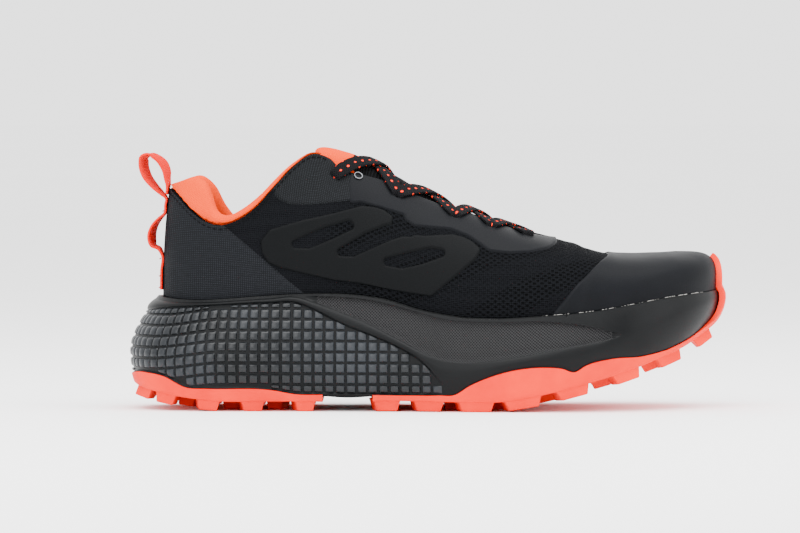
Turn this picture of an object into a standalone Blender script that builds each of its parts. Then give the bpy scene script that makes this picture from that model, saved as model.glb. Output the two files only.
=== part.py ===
"""Trail running shoe for the right foot, standing empty on its sole.

The shoe points along +X, its outer (lateral) side faces -Y and its inner (medial) side +Y.
Every form is worked out from one last: a plan outline, a few heights along the foot and an arch
over the instep. Lengths along the shoe are read at u, which is 0 at the heel and 1 at the toe and
is spaced like the angle of a half circle, so that outlines close in round ends.
Units are metres.
"""

import bmesh
import bpy
import numpy as np
from mathutils import Matrix, Vector

# Driving sizes of the shoe
SHOE_LENGTH = 0.302
RIM_WIDTH = 0.100
RIM_HEIGHT = 0.0586
INSTEP_HEIGHT = 0.128
HEEL_OVERHANG = 0.0145
TOE_RUBBER = 0.0046
TOE_OFFSET = 0.014

# Walls, layers and running gaps
GAP = 0.0003
UPPER_WALL = 0.0020
OVERLAY = 0.0007
INSOLE_THICKNESS = 0.0040
TONGUE_THICKNESS = 0.0042
RUBBER_INSET = 0.0016
RUBBER_PROUD = 0.0006
RUBBER_BEVEL = 0.0010
CUP_DRAFT = 0.0030
LUG_HEIGHT = 0.0050
LUG_ROOT = 0.0014
PANEL_DEPTH = 0.0016
RIB_PROUD = 0.0012
GROOVE_DEPTH = 0.0010
ROW_STEP = 0.00022

# Collar, tongue, laces and pull loop
COLLAR_DEPTH = 0.034
COLLAR_FOAM = 0.0062
COLLAR_FRONT_FOAM = 0.0026
COLLAR_CREST = 0.0052
EYELET_RADIUS = 0.0021
EYELET_INSET = 0.0070
EYESTAY_WIDTH = 0.0150
LACE_WIDTH = 0.0062
LACE_THICKNESS = 0.0016
WEBBING_WIDTH = 0.012
WEBBING_THICKNESS = 0.0015
LOOP_TWIST = 0.22

# How finely the solids are faceted
UPPER_ROWS = np.linspace(0, 1, 9)
GRIP_RIBS = 5
SEGMENTS = 12
PUNCH_LENGTH = 0.012

RIM_LENGTH = SHOE_LENGTH - HEEL_OVERHANG - TOE_RUBBER

# Rim of the midsole in plan: share of its length, then lateral and medial half width as shares of RIM_WIDTH.
PLAN = np.array([
    (0.00, 0.000, 0.000),
    (0.03, 0.220, 0.215),
    (0.08, 0.315, 0.305),
    (0.15, 0.358, 0.338),
    (0.25, 0.372, 0.332),
    (0.35, 0.388, 0.325),
    (0.45, 0.428, 0.340),
    (0.55, 0.475, 0.385),
    (0.65, 0.508, 0.440),
    (0.73, 0.512, 0.480),
    (0.80, 0.482, 0.498),
    (0.87, 0.408, 0.488),
    (0.93, 0.290, 0.438),
    (0.975, 0.125, 0.340),
    (1.00, -TOE_OFFSET / RIM_WIDTH, TOE_OFFSET / RIM_WIDTH),
])

# Heights of the sole along its length, as shares of RIM_HEIGHT: share of length, rim, footbed,
# underside of the foam, face of the rubber between the lugs.
SOLE_HEIGHTS = np.array([
    (0.00, 0.973, 0.700, 0.285, 0.235),
    (0.03, 0.950, 0.650, 0.207, 0.157),
    (0.08, 0.945, 0.620, 0.155, 0.104),
    (0.12, 0.955, 0.605, 0.135, 0.0835),
    (0.20, 0.985, 0.595, 0.135, 0.0835),
    (0.28, 1.002, 0.590, 0.135, 0.0835),
    (0.34, 0.998, 0.585, 0.118, 0.075),
    (0.40, 0.962, 0.570, 0.134, 0.0900),
    (0.47, 0.865, 0.540, 0.137, 0.0900),
    (0.54, 0.808, 0.515, 0.135, 0.0830),
    (0.60, 0.799, 0.495, 0.137, 0.0835),
    (0.67, 0.815, 0.490, 0.188, 0.135),
    (0.77, 0.857, 0.535, 0.305, 0.254),
    (0.85, 0.920, 0.610, 0.420, 0.367),
    (0.90, 0.965, 0.665, 0.508, 0.453),
    (0.95, 0.995, 0.740, 0.615, 0.555),
    (0.98, 1.008, 0.800, 0.722, 0.657),
    (1.00, 1.017, 0.880, 0.855, 0.800),
])

# Side wall of the sole: share of length, how far its crest, its foot and its footbed edge stand out
# from the rim (shares of HEEL_OVERHANG), and how high the crest lies.
SIDE_WALL = np.array([
    (0.00, 1.00, 0.88, 0.34),
    (0.05, 0.95, 0.78, 0.34),
    (0.10, 0.80, 0.60, 0.35),
    (0.16, 0.68, 0.42, 0.36),
    (0.25, 0.58, 0.36, 0.36),
    (0.35, 0.50, 0.32, 0.34),
    (0.45, 0.44, 0.28, 0.33),
    (0.55, 0.42, 0.27, 0.35),
    (0.65, 0.42, 0.24, 0.38),
    (0.75, 0.38, 0.14, 0.45),
    (0.85, 0.28, -0.04, 0.55),
    (0.93, 0.16, -0.10, 0.65),
    (1.00, 0.06, -0.06, 0.70),
])

# Lines on the side wall, as heights in shares of RIM_HEIGHT: share of length, top of the grip field,
# lower and upper edge of the inset panel.
SIDE_LINES = np.array([
    (0.00, 0.850, 0.945, 0.955),
    (0.03, 0.880, 0.925, 0.935),
    (0.10, 0.900, 0.930, 0.940),
    (0.20, 0.925, 0.962, 0.970),
    (0.25, 0.925, 0.975, 0.985),
    (0.28, 0.870, 0.930, 0.985),
    (0.33, 0.755, 0.840, 0.975),
    (0.38, 0.660, 0.740, 0.950),
    (0.43, 0.555, 0.620, 0.895),
    (0.48, 0.400, 0.495, 0.825),
    (0.51, 0.240, 0.440, 0.790),
    (0.54, 0.150, 0.422, 0.775),
    (0.60, 0.160, 0.444, 0.765),
    (0.68, 0.210, 0.510, 0.775),
    (0.75, 0.330, 0.572, 0.745),
    (0.79, 0.400, 0.612, 0.700),
    (0.82, 0.440, 0.655, 0.665),
    (0.90, 0.560, 0.760, 0.770),
    (1.00, 0.900, 0.930, 0.940),
])

# Top edge of the rubber: share of length, height as a share of RIM_HEIGHT, then how far it climbs
# from the rim to the ridge of the toe. It drops to the underside between the two pieces.
RUBBER_EDGE = np.array([
    (0.00, 0.300, 0.000),
    (0.020, 0.325, 0.000),
    (0.045, 0.290, 0.000),
    (0.070, 0.205, 0.000),
    (0.10, 0.195, 0.000),
    (0.21, 0.180, 0.000),
    (0.245, 0.150, 0.000),
    (0.30, 0.145, 0.000),
    (0.38, 0.143, 0.000),
    (0.50, 0.143, 0.000),
    (0.53, 0.150, 0.000),
    (0.555, 0.225, 0.000),
    (0.59, 0.300, 0.000),
    (0.69, 0.385, 0.000),
    (0.715, 0.375, 0.000),
    (0.735, 0.345, 0.000),
    (0.755, 0.400, 0.000),
    (0.80, 0.455, 0.000),
    (0.85, 0.468, 0.000),
    (0.90, 0.515, 0.000),
    (0.95, 0.600, 0.000),
    (0.974, 0.665, 0.000),
    (0.989, 0.780, 0.000),
    (0.9930, 0.840, 0.000),
    (0.9957, 0.930, 0.000),
    (0.9972, 1.0155, 0.080),
    (0.9982, 1.0160, 0.400),
    (0.9991, 1.0165, 0.672),
    (1.00, 1.017, 0.863),
])

# The arch of the upper: share of length, ridge height, lateral and medial edge height, all as
# shares of INSTEP_HEIGHT, then the exponent of the arch. Behind 0.28 the edge is the collar, up to
# 0.71 it is the throat, and past that the arch is closed.
ARCH = np.array([
    (0.000, 1.2350, 0.8720, 0.8720, 2.20),
    (0.025, 1.2200, 0.8380, 0.8650, 2.20),
    (0.050, 1.2000, 0.8000, 0.8620, 2.20),
    (0.080, 1.1720, 0.7580, 0.8300, 2.20),
    (0.110, 1.1720, 0.7470, 0.7680, 2.20),
    (0.140, 1.1720, 0.7720, 0.7220, 2.20),
    (0.170, 1.1720, 0.8220, 0.7520, 2.20),
    (0.200, 1.1720, 0.9050, 0.8450, 2.20),
    (0.225, 1.1520, 0.9690, 0.9350, 2.10),
    (0.250, 1.1060, 1.0060, 0.9880, 2.10),
    (0.275, 1.0360, 0.9840, 0.9800, 2.10),
    (0.300, 1.0080, 0.9420, 0.9420, 2.10),
    (0.350, 0.9560, 0.9110, 0.9110, 2.10),
    (0.400, 0.9130, 0.8800, 0.8810, 2.10),
    (0.450, 0.8560, 0.8300, 0.8310, 2.10),
    (0.500, 0.8110, 0.7910, 0.7920, 2.10),
    (0.550, 0.7780, 0.7615, 0.7625, 2.15),
    (0.600, 0.7400, 0.7280, 0.7285, 2.20),
    (0.640, 0.7115, 0.7030, 0.7032, 2.25),
    (0.665, 0.6970, 0.6910, 0.6912, 2.30),
    (0.700, 0.6790, 0.6772, 0.6773, 2.40),
    (0.715, 0.6730, 0.6730, 0.6730, 2.43),
    (0.740, 0.6650, 0.6650, 0.6650, 2.50),
    (0.775, 0.6480, 0.6480, 0.6480, 2.60),
    (0.805, 0.6240, 0.6240, 0.6240, 2.70),
    (0.835, 0.6100, 0.6100, 0.6100, 2.80),
    (0.880, 0.6020, 0.6020, 0.6020, 3.00),
    (0.940, 0.6030, 0.6030, 0.6030, 3.60),
    (1.000, 0.6080, 0.6080, 0.6080, 4.50),
])

THROAT_SHARE = 0.715
RIDGE_BACK = 0.145
TONGUE_END = 0.705

# Ridge line of the arch and how far the upper stands inside the rim: share of length, sideways
# offset as a share of RIM_WIDTH, inset of the upper from the rim in metres.
RIDGE_LINE = np.array([
    (0.00, 0.000, 0.0030),
    (0.30, 0.010, 0.0032),
    (0.60, 0.020, 0.0030),
    (0.80, 0.060, 0.0026),
    (0.93, 0.110, 0.0018),
    (1.00, 0.140, 0.0013),
])

# Tongue: share of length, height of its crown as a share of INSTEP_HEIGHT, q of its side edge.
TONGUE_CROWN = np.array([
    (0.215, 1.0360, 0.62),
    (0.250, 1.0310, 0.60),
    (0.282, 1.0160, 0.60),
    (0.300, 1.0060, 0.60),
    (0.350, 0.9560, 0.60),
    (0.400, 0.9130, 0.60),
    (0.450, 0.8560, 0.61),
    (0.500, 0.8110, 0.64),
    (0.550, 0.7780, 0.68),
    (0.600, 0.7400, 0.70),
    (0.640, 0.7115, 0.74),
    (0.665, 0.6970, 0.78),
    (0.700, 0.6790, 0.84),
    (0.715, 0.6730, 0.86),
    (0.740, 0.6650, 0.86),
])
TONGUE_CLEAR = 0.0008
TONGUE_TUCK = 0.0035

# Where the vented panel stands along the length, and how much its bars slant.
PANEL_SPAN = (0.19, 0.50)
PANEL_SLANT = 0.07

# Rear edge of the toe cap at the rim and at the ridge, front edge of the heel counter at the rim
# and at the collar, and front end of the collar, as shares of the length.
CAP_LOW = 0.735
CAP_TOP = 0.845
COUNTER_LOW = 0.25
COUNTER_TOP = 0.07
COLLAR_END = 0.262

# Pull loop: heights of its runs on the back seam, then the two loops as shares of INSTEP_HEIGHT:
# distance from the back of the sole, height, and share of LOOP_TWIST.
LOOP_SEATS = ((0.485, 0.540, 0.605), (0.768, 0.800))
LOOP_LOW = (
    (0.116, 0.628, 0.3),
    (0.094, 0.640, 0.6),
    (0.086, 0.667, 0.8),
    (0.098, 0.719, 0.6),
    (0.118, 0.746, 0.3),
)
LOOP_HIGH = (
    (0.128, 0.834, 0.4),
    (0.095, 0.872, 0.8),
    (0.067, 0.915, 1.0),
    (0.054, 0.966, 1.0),
    (0.057, 0.987, 1.0),
    (0.077, 0.998, 1.0),
    (0.106, 0.987, 1.0),
    (0.131, 0.964, 1.0),
    (0.144, 0.936, 0.8),
    (0.148, 0.902, 0.5),
    (0.151, 0.880, 0.3),
)

# Eyelets from the front to the back: share of length of the column they lie on.
EYELETS = (0.668, 0.594, 0.523, 0.411, 0.294)
SPARE_EYELET = 0.236
SPARE_EYELET_DROP = 0.0135

# Lugs, on both sides alike: centre from the back of the heel and length as shares of SHOE_LENGTH,
# distance from the edge of the sole and width as shares of RIM_WIDTH, sweep as a share of SHOE_LENGTH.
HEEL_LUGS = np.array([
    (0.027, 0.026, 0.006, 0.157, 0.008),
    (0.064, 0.036, 0.003, 0.169, 0.006),
    (0.136, 0.039, 0.003, 0.169, -0.006),
    (0.209, 0.040, 0.003, 0.169, -0.008),
    (0.296, 0.035, 0.003, 0.169, -0.010),
    (0.097, 0.032, 0.205, 0.121, 0.012),
    (0.172, 0.034, 0.211, 0.139, 0.012),
    (0.243, 0.030, 0.211, 0.139, 0.012),
])
FORE_LUGS = np.array([
    (0.431, 0.046, 0.003, 0.151, -0.008),
    (0.500, 0.052, 0.003, 0.157, -0.008),
    (0.578, 0.062, 0.003, 0.169, -0.010),
    (0.654, 0.064, 0.003, 0.181, -0.010),
    (0.736, 0.057, 0.003, 0.181, -0.010),
    (0.826, 0.048, 0.003, 0.169, -0.010),
    (0.898, 0.042, 0.003, 0.151, -0.008),
    (0.954, 0.030, 0.006, 0.121, -0.004),
    (0.540, 0.036, 0.230, 0.151, 0.014),
    (0.616, 0.040, 0.236, 0.169, 0.014),
    (0.694, 0.040, 0.242, 0.175, 0.014),
    (0.783, 0.036, 0.236, 0.175, 0.014),
    (0.866, 0.032, 0.211, 0.157, 0.012),
])
LUG_TAPER = 0.74

HEEL_PIECE = (0.0, 0.295)
FORE_PIECE = (0.385, 1.0)

BLACK_FOAM = ("eva_foam_graphite", (0.045, 0.048, 0.053), 0.55)
RUBBER_ORANGE = ("rubber_orange", (0.95, 0.13, 0.06), 0.60)
MESH_BLACK = ("mesh_black", (0.018, 0.019, 0.021), 0.85)
FILM_GREY = ("film_dark_grey", (0.040, 0.043, 0.047), 0.50)
LINING_ORANGE = ("lining_orange", (0.95, 0.16, 0.05), 0.80)
WEBBING_RED = ("webbing_red_orange", (0.90, 0.08, 0.04), 0.75)
LACE_BLACK = ("lace_black", (0.020, 0.022, 0.024), 0.80)
FOOTBED_BLACK = ("footbed_black", (0.030, 0.030, 0.032), 0.90)


def share_of(u):
    """Share of the rim's length at u."""
    return (1 - np.cos(np.pi * u)) / 2


def u_of(share):
    """The u at a share of the rim's length."""
    return np.arccos(1 - 2 * np.asarray(share, float)) / np.pi


def folded(u):
    """u carried back into 0 to 1, for points just past the heel or the toe."""
    return np.where(u < 0, -u, np.where(u > 1, 2 - u, u))


def along(table, column, u, flat=True):
    """Smooth curve through one column of a table of sections, read at u.

    It is a cubic Hermite curve whose slopes come from the neighbouring rows. A flat curve levels
    out at the heel and the toe, and the others close in a round end.
    """
    keys = u_of(table[:, 0])
    values = table[:, column]
    slopes = np.gradient(values, keys)
    if flat:
        slopes[0] = 0
        slopes[-1] = 0
    u = np.clip(folded(np.asarray(u, float)), keys[0], keys[-1])
    i = np.clip(np.searchsorted(keys, u, side="right") - 1, 0, len(keys) - 2)
    width = keys[i + 1] - keys[i]
    t = (u - keys[i]) / width
    return (
        (1 + 2 * t) * (1 - t) ** 2 * values[i]
        + t * (1 - t) ** 2 * width * slopes[i]
        + t**2 * (3 - 2 * t) * values[i + 1]
        + t**2 * (t - 1) * width * slopes[i + 1]
    )


def ramp(low, high, value):
    """Smooth step from 0 at low to 1 at high."""
    t = np.clip((value - low) / (high - low), 0, 1)
    return t * t * (3 - 2 * t)


def plan(u, side):
    """Point of the rim in plan. side is -1 on the lateral and 1 on the medial side."""
    u = np.asarray(u, float)
    turned = np.where((u < 0) | (u > 1), -side, side)
    y = np.where(turned < 0, -along(PLAN, 1, u, False), along(PLAN, 2, u, False))
    return HEEL_OVERHANG + RIM_LENGTH * share_of(folded(u)), y * RIM_WIDTH


def plan_normal(u, side):
    """Outward direction of the rim in plan."""
    step = 1e-3
    x0, y0 = plan(u - step, side)
    x1, y1 = plan(u + step, side)
    size = np.hypot(x1 - x0, y1 - y0)
    return side * -(y1 - y0) / size, side * (x1 - x0) / size


def rim_height(u):
    return RIM_HEIGHT * along(SOLE_HEIGHTS, 1, u)


def bed_height(u):
    return RIM_HEIGHT * along(SOLE_HEIGHTS, 2, u)


def foam_underside(u):
    return RIM_HEIGHT * along(SOLE_HEIGHTS, 3, u, False)


def rubber_face(u):
    """Height of the rubber's face between the lugs."""
    return RIM_HEIGHT * along(SOLE_HEIGHTS, 4, u, False)


def rubber_edge(u):
    """Height of the rubber's top edge, which climbs over the rim at the toe."""
    climb = INSTEP_HEIGHT * along(ARCH, 1, u) - rim_height(u)
    return RIM_HEIGHT * along(RUBBER_EDGE, 1, u) + climb * along(RUBBER_EDGE, 2, u)


def upper_inset(u):
    return along(RIDGE_LINE, 2, u)


def toe_share(u):
    """1 at the toe tip, where the rubber turns up into a bumper, and 0 elsewhere."""
    return ramp(0.86, 0.97, u)


def rubber_inset(u):
    return RUBBER_INSET * (1 - toe_share(u))


def rubber_proud(u):
    return RUBBER_PROUD * (1 - toe_share(u)) + TOE_RUBBER * 0.78 * toe_share(u)


def side_point(u, side, height, outset):
    """Point on the sole's side wall at a height, moved outwards by outset.

    The wall swells from its foot to a crest and draws in again to the rim.
    """
    low = foam_underside(u)
    t = np.minimum((height - low) / (rim_height(u) - low), 1)
    crest = HEEL_OVERHANG * along(SIDE_WALL, 1, u)
    foot = HEEL_OVERHANG * along(SIDE_WALL, 2, u)
    crest_at = along(SIDE_WALL, 3, u)
    below = np.maximum(1 - t / crest_at, 0)
    above = np.maximum(t - crest_at, 0) / (1 - crest_at)
    swell = crest - (crest - foot) * below**2.2 - crest * above**1.6
    x, y = plan(u, side)
    nx, ny = plan_normal(u, side)
    reach = swell + outset
    return np.stack([x + nx * reach, y + ny * reach, height + 0 * x], axis=-1)


def inner_point(u, side, inset, height):
    """Point inside the rim at an inset from it."""
    x, y = plan(u, side)
    nx, ny = plan_normal(u, side)
    return np.stack([x - nx * inset, y - ny * inset, height + 0 * x], axis=-1)


def arch_point(u, side, q, crown=None):
    """Point on the arch that rises from the rim (q = 0) to the ridge (q = 1), a super-ellipse."""
    foot = inner_point(u, side, upper_inset(u), rim_height(u))
    ridge_height = INSTEP_HEIGHT * (along(ARCH, 1, u) if crown is None else crown)
    exponent = 2 / along(ARCH, 4, u)
    ridge_x = SHOE_LENGTH * (RIDGE_BACK * (1 - share_of(folded(u))) + 0.911 * share_of(folded(u)))
    ridge_y = RIM_WIDTH * along(RIDGE_LINE, 1, u)
    angle = np.clip(q, 0, 1) * np.pi / 2
    rise = np.sin(angle) ** exponent
    lean = 1 - np.maximum(np.cos(angle), 0) ** exponent
    x = foot[..., 0] + (ridge_x - foot[..., 0]) * lean
    y = foot[..., 1] + (ridge_y - foot[..., 1]) * lean
    z = foot[..., 2] + (ridge_height - foot[..., 2]) * rise
    return np.stack([x, y, z], axis=-1)


def arch_normal(u, side, q, crown=None):
    """Outward direction of the arch, from its two tangents."""
    step = 2e-3
    low = np.clip(q - step, 0, 1)
    high = np.clip(q + step, 0, 1)
    up = arch_point(u, side, high, crown) - arch_point(u, side, low, crown)
    ahead = arch_point(u + step, side, q, crown) - arch_point(u - step, side, q, crown)
    normal = np.cross(up, ahead) * np.asarray(side)[..., None]
    return normal / np.linalg.norm(normal, axis=-1, keepdims=True)


def shell_point(u, side, q, offset, crown=None):
    """Point at an offset from the arch. Both sides agree on the ridge, so that they can meet."""
    u, side, q = np.broadcast_arrays(np.asarray(u, float), np.asarray(side, float), q)
    normal = arch_normal(u, side, q, crown)
    other = arch_normal(u, -side, q, crown)
    shared = normal + other
    shared = shared / np.linalg.norm(shared, axis=-1, keepdims=True)
    normal = np.where((q > 0.9999)[..., None], shared, normal)
    return arch_point(u, side, q, crown) + normal * np.asarray(offset)[..., None]


def q_at_height(u, height):
    """How far up the arch a height lies."""
    low = rim_height(u)
    share = np.clip((height - low) / (INSTEP_HEIGHT * along(ARCH, 1, u) - low), 0, 1)
    return np.arcsin(share ** (along(ARCH, 4, u) / 2)) * 2 / np.pi


def edge_q(u, side):
    """How far up the arch the collar or the throat edge lies, 1 where the arch is closed."""
    lateral = q_at_height(u, INSTEP_HEIGHT * along(ARCH, 2, u))
    medial = q_at_height(u, INSTEP_HEIGHT * along(ARCH, 3, u))
    edge = np.where(np.asarray(side) < 0, lateral, medial)
    return np.where(u >= u_of(THROAT_SHARE) - 1e-9, 1.0, edge)


def q_below_edge(u, side, drop):
    """How far up the arch a point lies that is a given length below the edge."""
    samples = np.linspace(0, 1, 81)
    top = edge_q(np.array(u), side)
    q = top * (1 - samples)
    points = arch_point(np.full_like(q, u), np.full_like(q, side), q)
    lengths = np.append(0, np.cumsum(np.linalg.norm(np.diff(points, axis=0), axis=1)))
    return float(np.interp(drop, lengths, q))


def main_stations():
    """Stations of the sole and the upper, closer at the toe, where the bumper turns up."""
    heel = np.linspace(0, u_of(0.10), 6)
    middle = np.linspace(u_of(0.10), u_of(THROAT_SHARE), 15)
    front = np.linspace(u_of(THROAT_SHARE), u_of(0.95), 7)
    toe = np.array([0.885, 0.914, 0.940, 0.958, 0.974, 1.0])
    return np.concatenate([heel, middle[1:], front[1:], toe])


def material(spec):
    """A Principled material of a name, a colour and a roughness, made once."""
    name, colour, roughness = spec
    made = bpy.data.materials.get(name)
    if made is None:
        made = bpy.data.materials.new(name)
        made.use_nodes = True
        shader = made.node_tree.nodes["Principled BSDF"]
        shader.inputs["Base Color"].default_value = (*colour, 1)
        shader.inputs["Roughness"].default_value = roughness
        shader.inputs["Metallic"].default_value = 0.0
    return made


def new_object(name, vertices, faces, spec, collection, merge=1e-6):
    """Mesh object from vertices and faces, with points that coincide merged."""
    mesh = bpy.data.meshes.new(name)
    mesh.from_pydata([tuple(v) for v in vertices], [], faces)
    work = bmesh.new()
    work.from_mesh(mesh)
    bmesh.ops.remove_doubles(work, verts=work.verts, dist=merge)
    bmesh.ops.dissolve_degenerate(work, edges=work.edges, dist=merge)
    bmesh.ops.delete(work, geom=[v for v in work.verts if not v.link_faces], context="VERTS")
    work.to_mesh(mesh)
    work.free()
    mesh.shade_smooth()
    mesh.set_sharp_from_angle(angle=0.7)
    if spec:
        mesh.materials.append(material(spec))
    item = bpy.data.objects.new(name, mesh)
    collection.objects.link(item)
    return item


def grid_faces(rows, columns, closed, start=0, turned=False):
    """Quads of a grid of rows by columns whose columns may close into a ring."""
    faces = []
    last = columns if closed else columns - 1
    for j in range(rows - 1):
        for k in range(last):
            n = (k + 1) % columns
            face = (j * columns + k, j * columns + n, (j + 1) * columns + n, (j + 1) * columns + k)
            face = face[::-1] if turned else face
            faces.append(tuple(start + i for i in face))
    return faces


def ring(lateral, medial):
    """Rows of points on both sides joined into rings: lateral to the toe, medial back to the heel."""
    return np.concatenate([lateral, medial[:, -2:0:-1]], axis=1)


def ladder(columns, first, upwards):
    """Quads straight across a ring between its lateral and its medial points."""
    half = columns // 2
    faces = []
    for k in range(half):
        a, b = k, k + 1
        c, d = (columns - b) % columns, (columns - a) % columns
        face = tuple(first + i for i in (a, b, c, d))
        faces.append(face if upwards else face[::-1])
    return faces


def tube_faces(rows, columns, turned):
    """Faces of a tube of closed sections, with a cap at both ends."""
    first = tuple(range(columns))
    last = tuple((rows - 1) * columns + i for i in range(columns))
    caps = [first, last[::-1]] if turned else [first[::-1], last]
    return grid_faces(rows, columns, True, 0, turned) + caps


def thick_sheet(outer, inner, open_ends=(True, True)):
    """Vertices and faces of the solid between two grids of the same shape.

    An end that isn't open lies on the toe or the heel line, where both sides of the sheet meet.
    """
    rows, columns = outer.shape[:2]
    count = rows * columns
    faces = grid_faces(rows, columns, False) + grid_faces(rows, columns, False, count, True)
    for k in range(columns - 1):
        faces.append((k, count + k, count + k + 1, k + 1))
        a = (rows - 1) * columns + k
        faces.append((a, a + 1, count + a + 1, count + a))
    for j in range(rows - 1):
        a, b = j * columns, (j + 1) * columns
        if open_ends[0]:
            faces.append((a, b, count + b, count + a))
        a, b = a + columns - 1, b + columns - 1
        if open_ends[1]:
            faces.append((a, count + a, count + b, b))
    return np.concatenate([outer.reshape(-1, 3), inner.reshape(-1, 3)]), faces


def solidify(item, thickness, outwards):
    """Gives an open sheet its wall, on the outer or the inner side."""
    wall = item.modifiers.new("Wall", "SOLIDIFY")
    wall.thickness = thickness
    wall.offset = 1 if outwards else -1
    wall.use_even_offset = False
    wall.use_rim = True


def boolean(item, tool, operation):
    cut = item.modifiers.new(operation.title(), "BOOLEAN")
    cut.operation = operation
    cut.solver = "EXACT"
    cut.object = tool


def midsole(parts):
    """Foam midsole: a dish whose side swells at the heel, with grip ribs, a rib and an inset panel."""
    u = main_stations()
    low = foam_underside(u)
    rim = rim_height(u)
    field_top = RIM_HEIGHT * along(SIDE_LINES, 1, u)
    panel_low = RIM_HEIGHT * along(SIDE_LINES, 2, u)
    panel_top = RIM_HEIGHT * along(SIDE_LINES, 3, u)
    edge = np.clip(rubber_edge(u), low + ROW_STEP, rim - 20 * ROW_STEP)
    ribbed = 1 - ramp(0.49, 0.52, share_of(u))
    panelled = ramp(0.26, 0.30, share_of(u)) * (1 - ramp(0.79, 0.82, share_of(u)))
    inset = rubber_inset(u)
    heights = [low, edge + GAP, edge + 2 * GAP]
    outsets = [-inset, -inset, 0 * u]
    for k in range(2 * GRIP_RIBS - 1):
        share = (k + 1) / (2 * GRIP_RIBS)
        heights.append(edge + 2 * GAP + (field_top - edge) * share)
        outsets.append(-GROOVE_DEPTH * ribbed * (k % 2 == 0))
    heights += [field_top, (field_top + panel_low) / 2, panel_low - ROW_STEP, panel_low + PANEL_DEPTH]
    outsets += [0 * u, RIB_PROUD * (1 - toe_share(u)), 0 * u, -PANEL_DEPTH * panelled]
    heights += [(panel_low + panel_top) / 2, panel_top - ROW_STEP, panel_top + ROW_STEP, rim]
    outsets += [-PANEL_DEPTH * panelled, -PANEL_DEPTH * panelled, 0 * u, 0 * u]
    count = len(heights)
    for j in range(1, count):
        heights[j] = np.maximum(heights[j], heights[j - 1] + ROW_STEP)
    heights[-1] = rim
    for j in range(count - 2, 0, -1):
        heights[j] = np.minimum(heights[j], heights[j + 1] - ROW_STEP)
    sides = []
    for side in (-1, 1):
        rows = [side_point(u, side, h, o) for h, o in zip(heights, outsets)]
        inset_in = upper_inset(u) - GAP
        rows.append(inner_point(u, side, inset_in, rim))
        rows.append(inner_point(u, side, inset_in + cup_draft(u), bed_height(u)))
        sides.append(np.array(rows))
    grid = ring(*sides)
    rows, columns = grid.shape[:2]
    faces = grid_faces(rows, columns, True)
    faces += ladder(columns, 0, False)
    faces += ladder(columns, (rows - 1) * columns, True)
    return new_object("midsole", grid.reshape(-1, 3), faces, BLACK_FOAM, parts)


def cup_draft(u):
    """How far the wall of the dish leans in from the rim down to the footbed."""
    return CUP_DRAFT * (1 - 0.6 * toe_share(u))


def rubber_side(u, side, height, outset, rim_offset):
    """Point of the rubber's side: on the sole's wall up to the rim, on the toe of the upper above it."""
    rim = rim_height(u)
    wall = side_point(u, side, np.minimum(height, rim), outset)
    toe = shell_point(u, side, q_at_height(u, np.maximum(height, rim)), rim_offset)
    return np.where((height > rim)[..., None], toe, wall)


def sole_face(ahead, across):
    """Point on the rubber's face between the lugs.

    ahead is measured from the back of the heel, across from the lateral (0) to the medial edge (1).
    """
    samples = np.linspace(0, 1, 161)
    left = side_point(samples, -1, rubber_face(samples), rubber_proud(samples) - RUBBER_BEVEL)
    right = side_point(samples, 1, rubber_face(samples), rubber_proud(samples) - RUBBER_BEVEL)
    middle = np.maximum.accumulate((left[:, 0] + right[:, 0]) / 2 + samples * 1e-5)
    ends = [np.array([np.interp(ahead, middle, side[:, i]) for i in range(3)]) for side in (left, right)]
    return ends[0] + (ends[1] - ends[0]) * across


def rubber_rows(u, low, edge):
    """Heights of the rows of the rubber's side, from its edge down, with one on the rim at the toe."""
    above = np.maximum(edge - np.minimum(edge, rim_height(u)), (edge - low) * 0.16)
    high = [edge - above * k for k in (0, 0.2, 0.5, 0.75, 1)]
    return high + [low + (high[-1] - low) * k for k in (0.68, 0.36, 0.14)]


def outsole(name, piece, lug_table, parts, tools):
    """Rubber piece that wraps the edge of the foam, with its lugs fused on."""
    main = main_stations()
    ends = u_of(piece)
    inside = main[(main > ends[0] + 0.006) & (main < ends[1] - 0.006)]
    tab = [0.966, 0.982] if piece[1] == 1 else []
    u = np.sort(np.concatenate([ends, inside, tab]))
    face = rubber_face(u)
    low = foam_underside(u) - GAP
    edge = np.maximum(rubber_edge(u), foam_underside(u) + ROW_STEP)
    proud = rubber_proud(u)
    inner_out = GAP * (1 + 1.5 * toe_share(u)) - rubber_inset(u)
    bump = upper_inset(u) + proud - RUBBER_BEVEL
    outer, inner = [], []
    for side in (-1, 1):
        out_rows = [rubber_side(u, side, h, proud, bump) for h in rubber_rows(u, face, edge)]
        out_rows.append(side_point(u, side, face, proud - RUBBER_BEVEL))
        shell = 4 * GAP + OVERLAY + 0 * u
        in_rows = [rubber_side(u, side, h, inner_out, shell) for h in rubber_rows(u, low, edge)]
        in_rows.append(side_point(u, side, low, inner_out))
        outer.append(np.array(out_rows))
        inner.append(np.array(in_rows))
    outer = np.concatenate([outer[0], outer[1][::-1]])[:, ::-1]
    inner = np.concatenate([inner[0], inner[1][::-1]])[:, ::-1]
    open_ends = (piece[1] < 1, piece[0] > 0)
    vertices, faces = thick_sheet(outer, inner, open_ends)
    plate = new_object(name, vertices, faces, RUBBER_ORANGE, parts)
    lugs = lug_block(name + "_lugs", lug_table, tools)
    boolean(plate, lugs, "UNION")
    return plate


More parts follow.
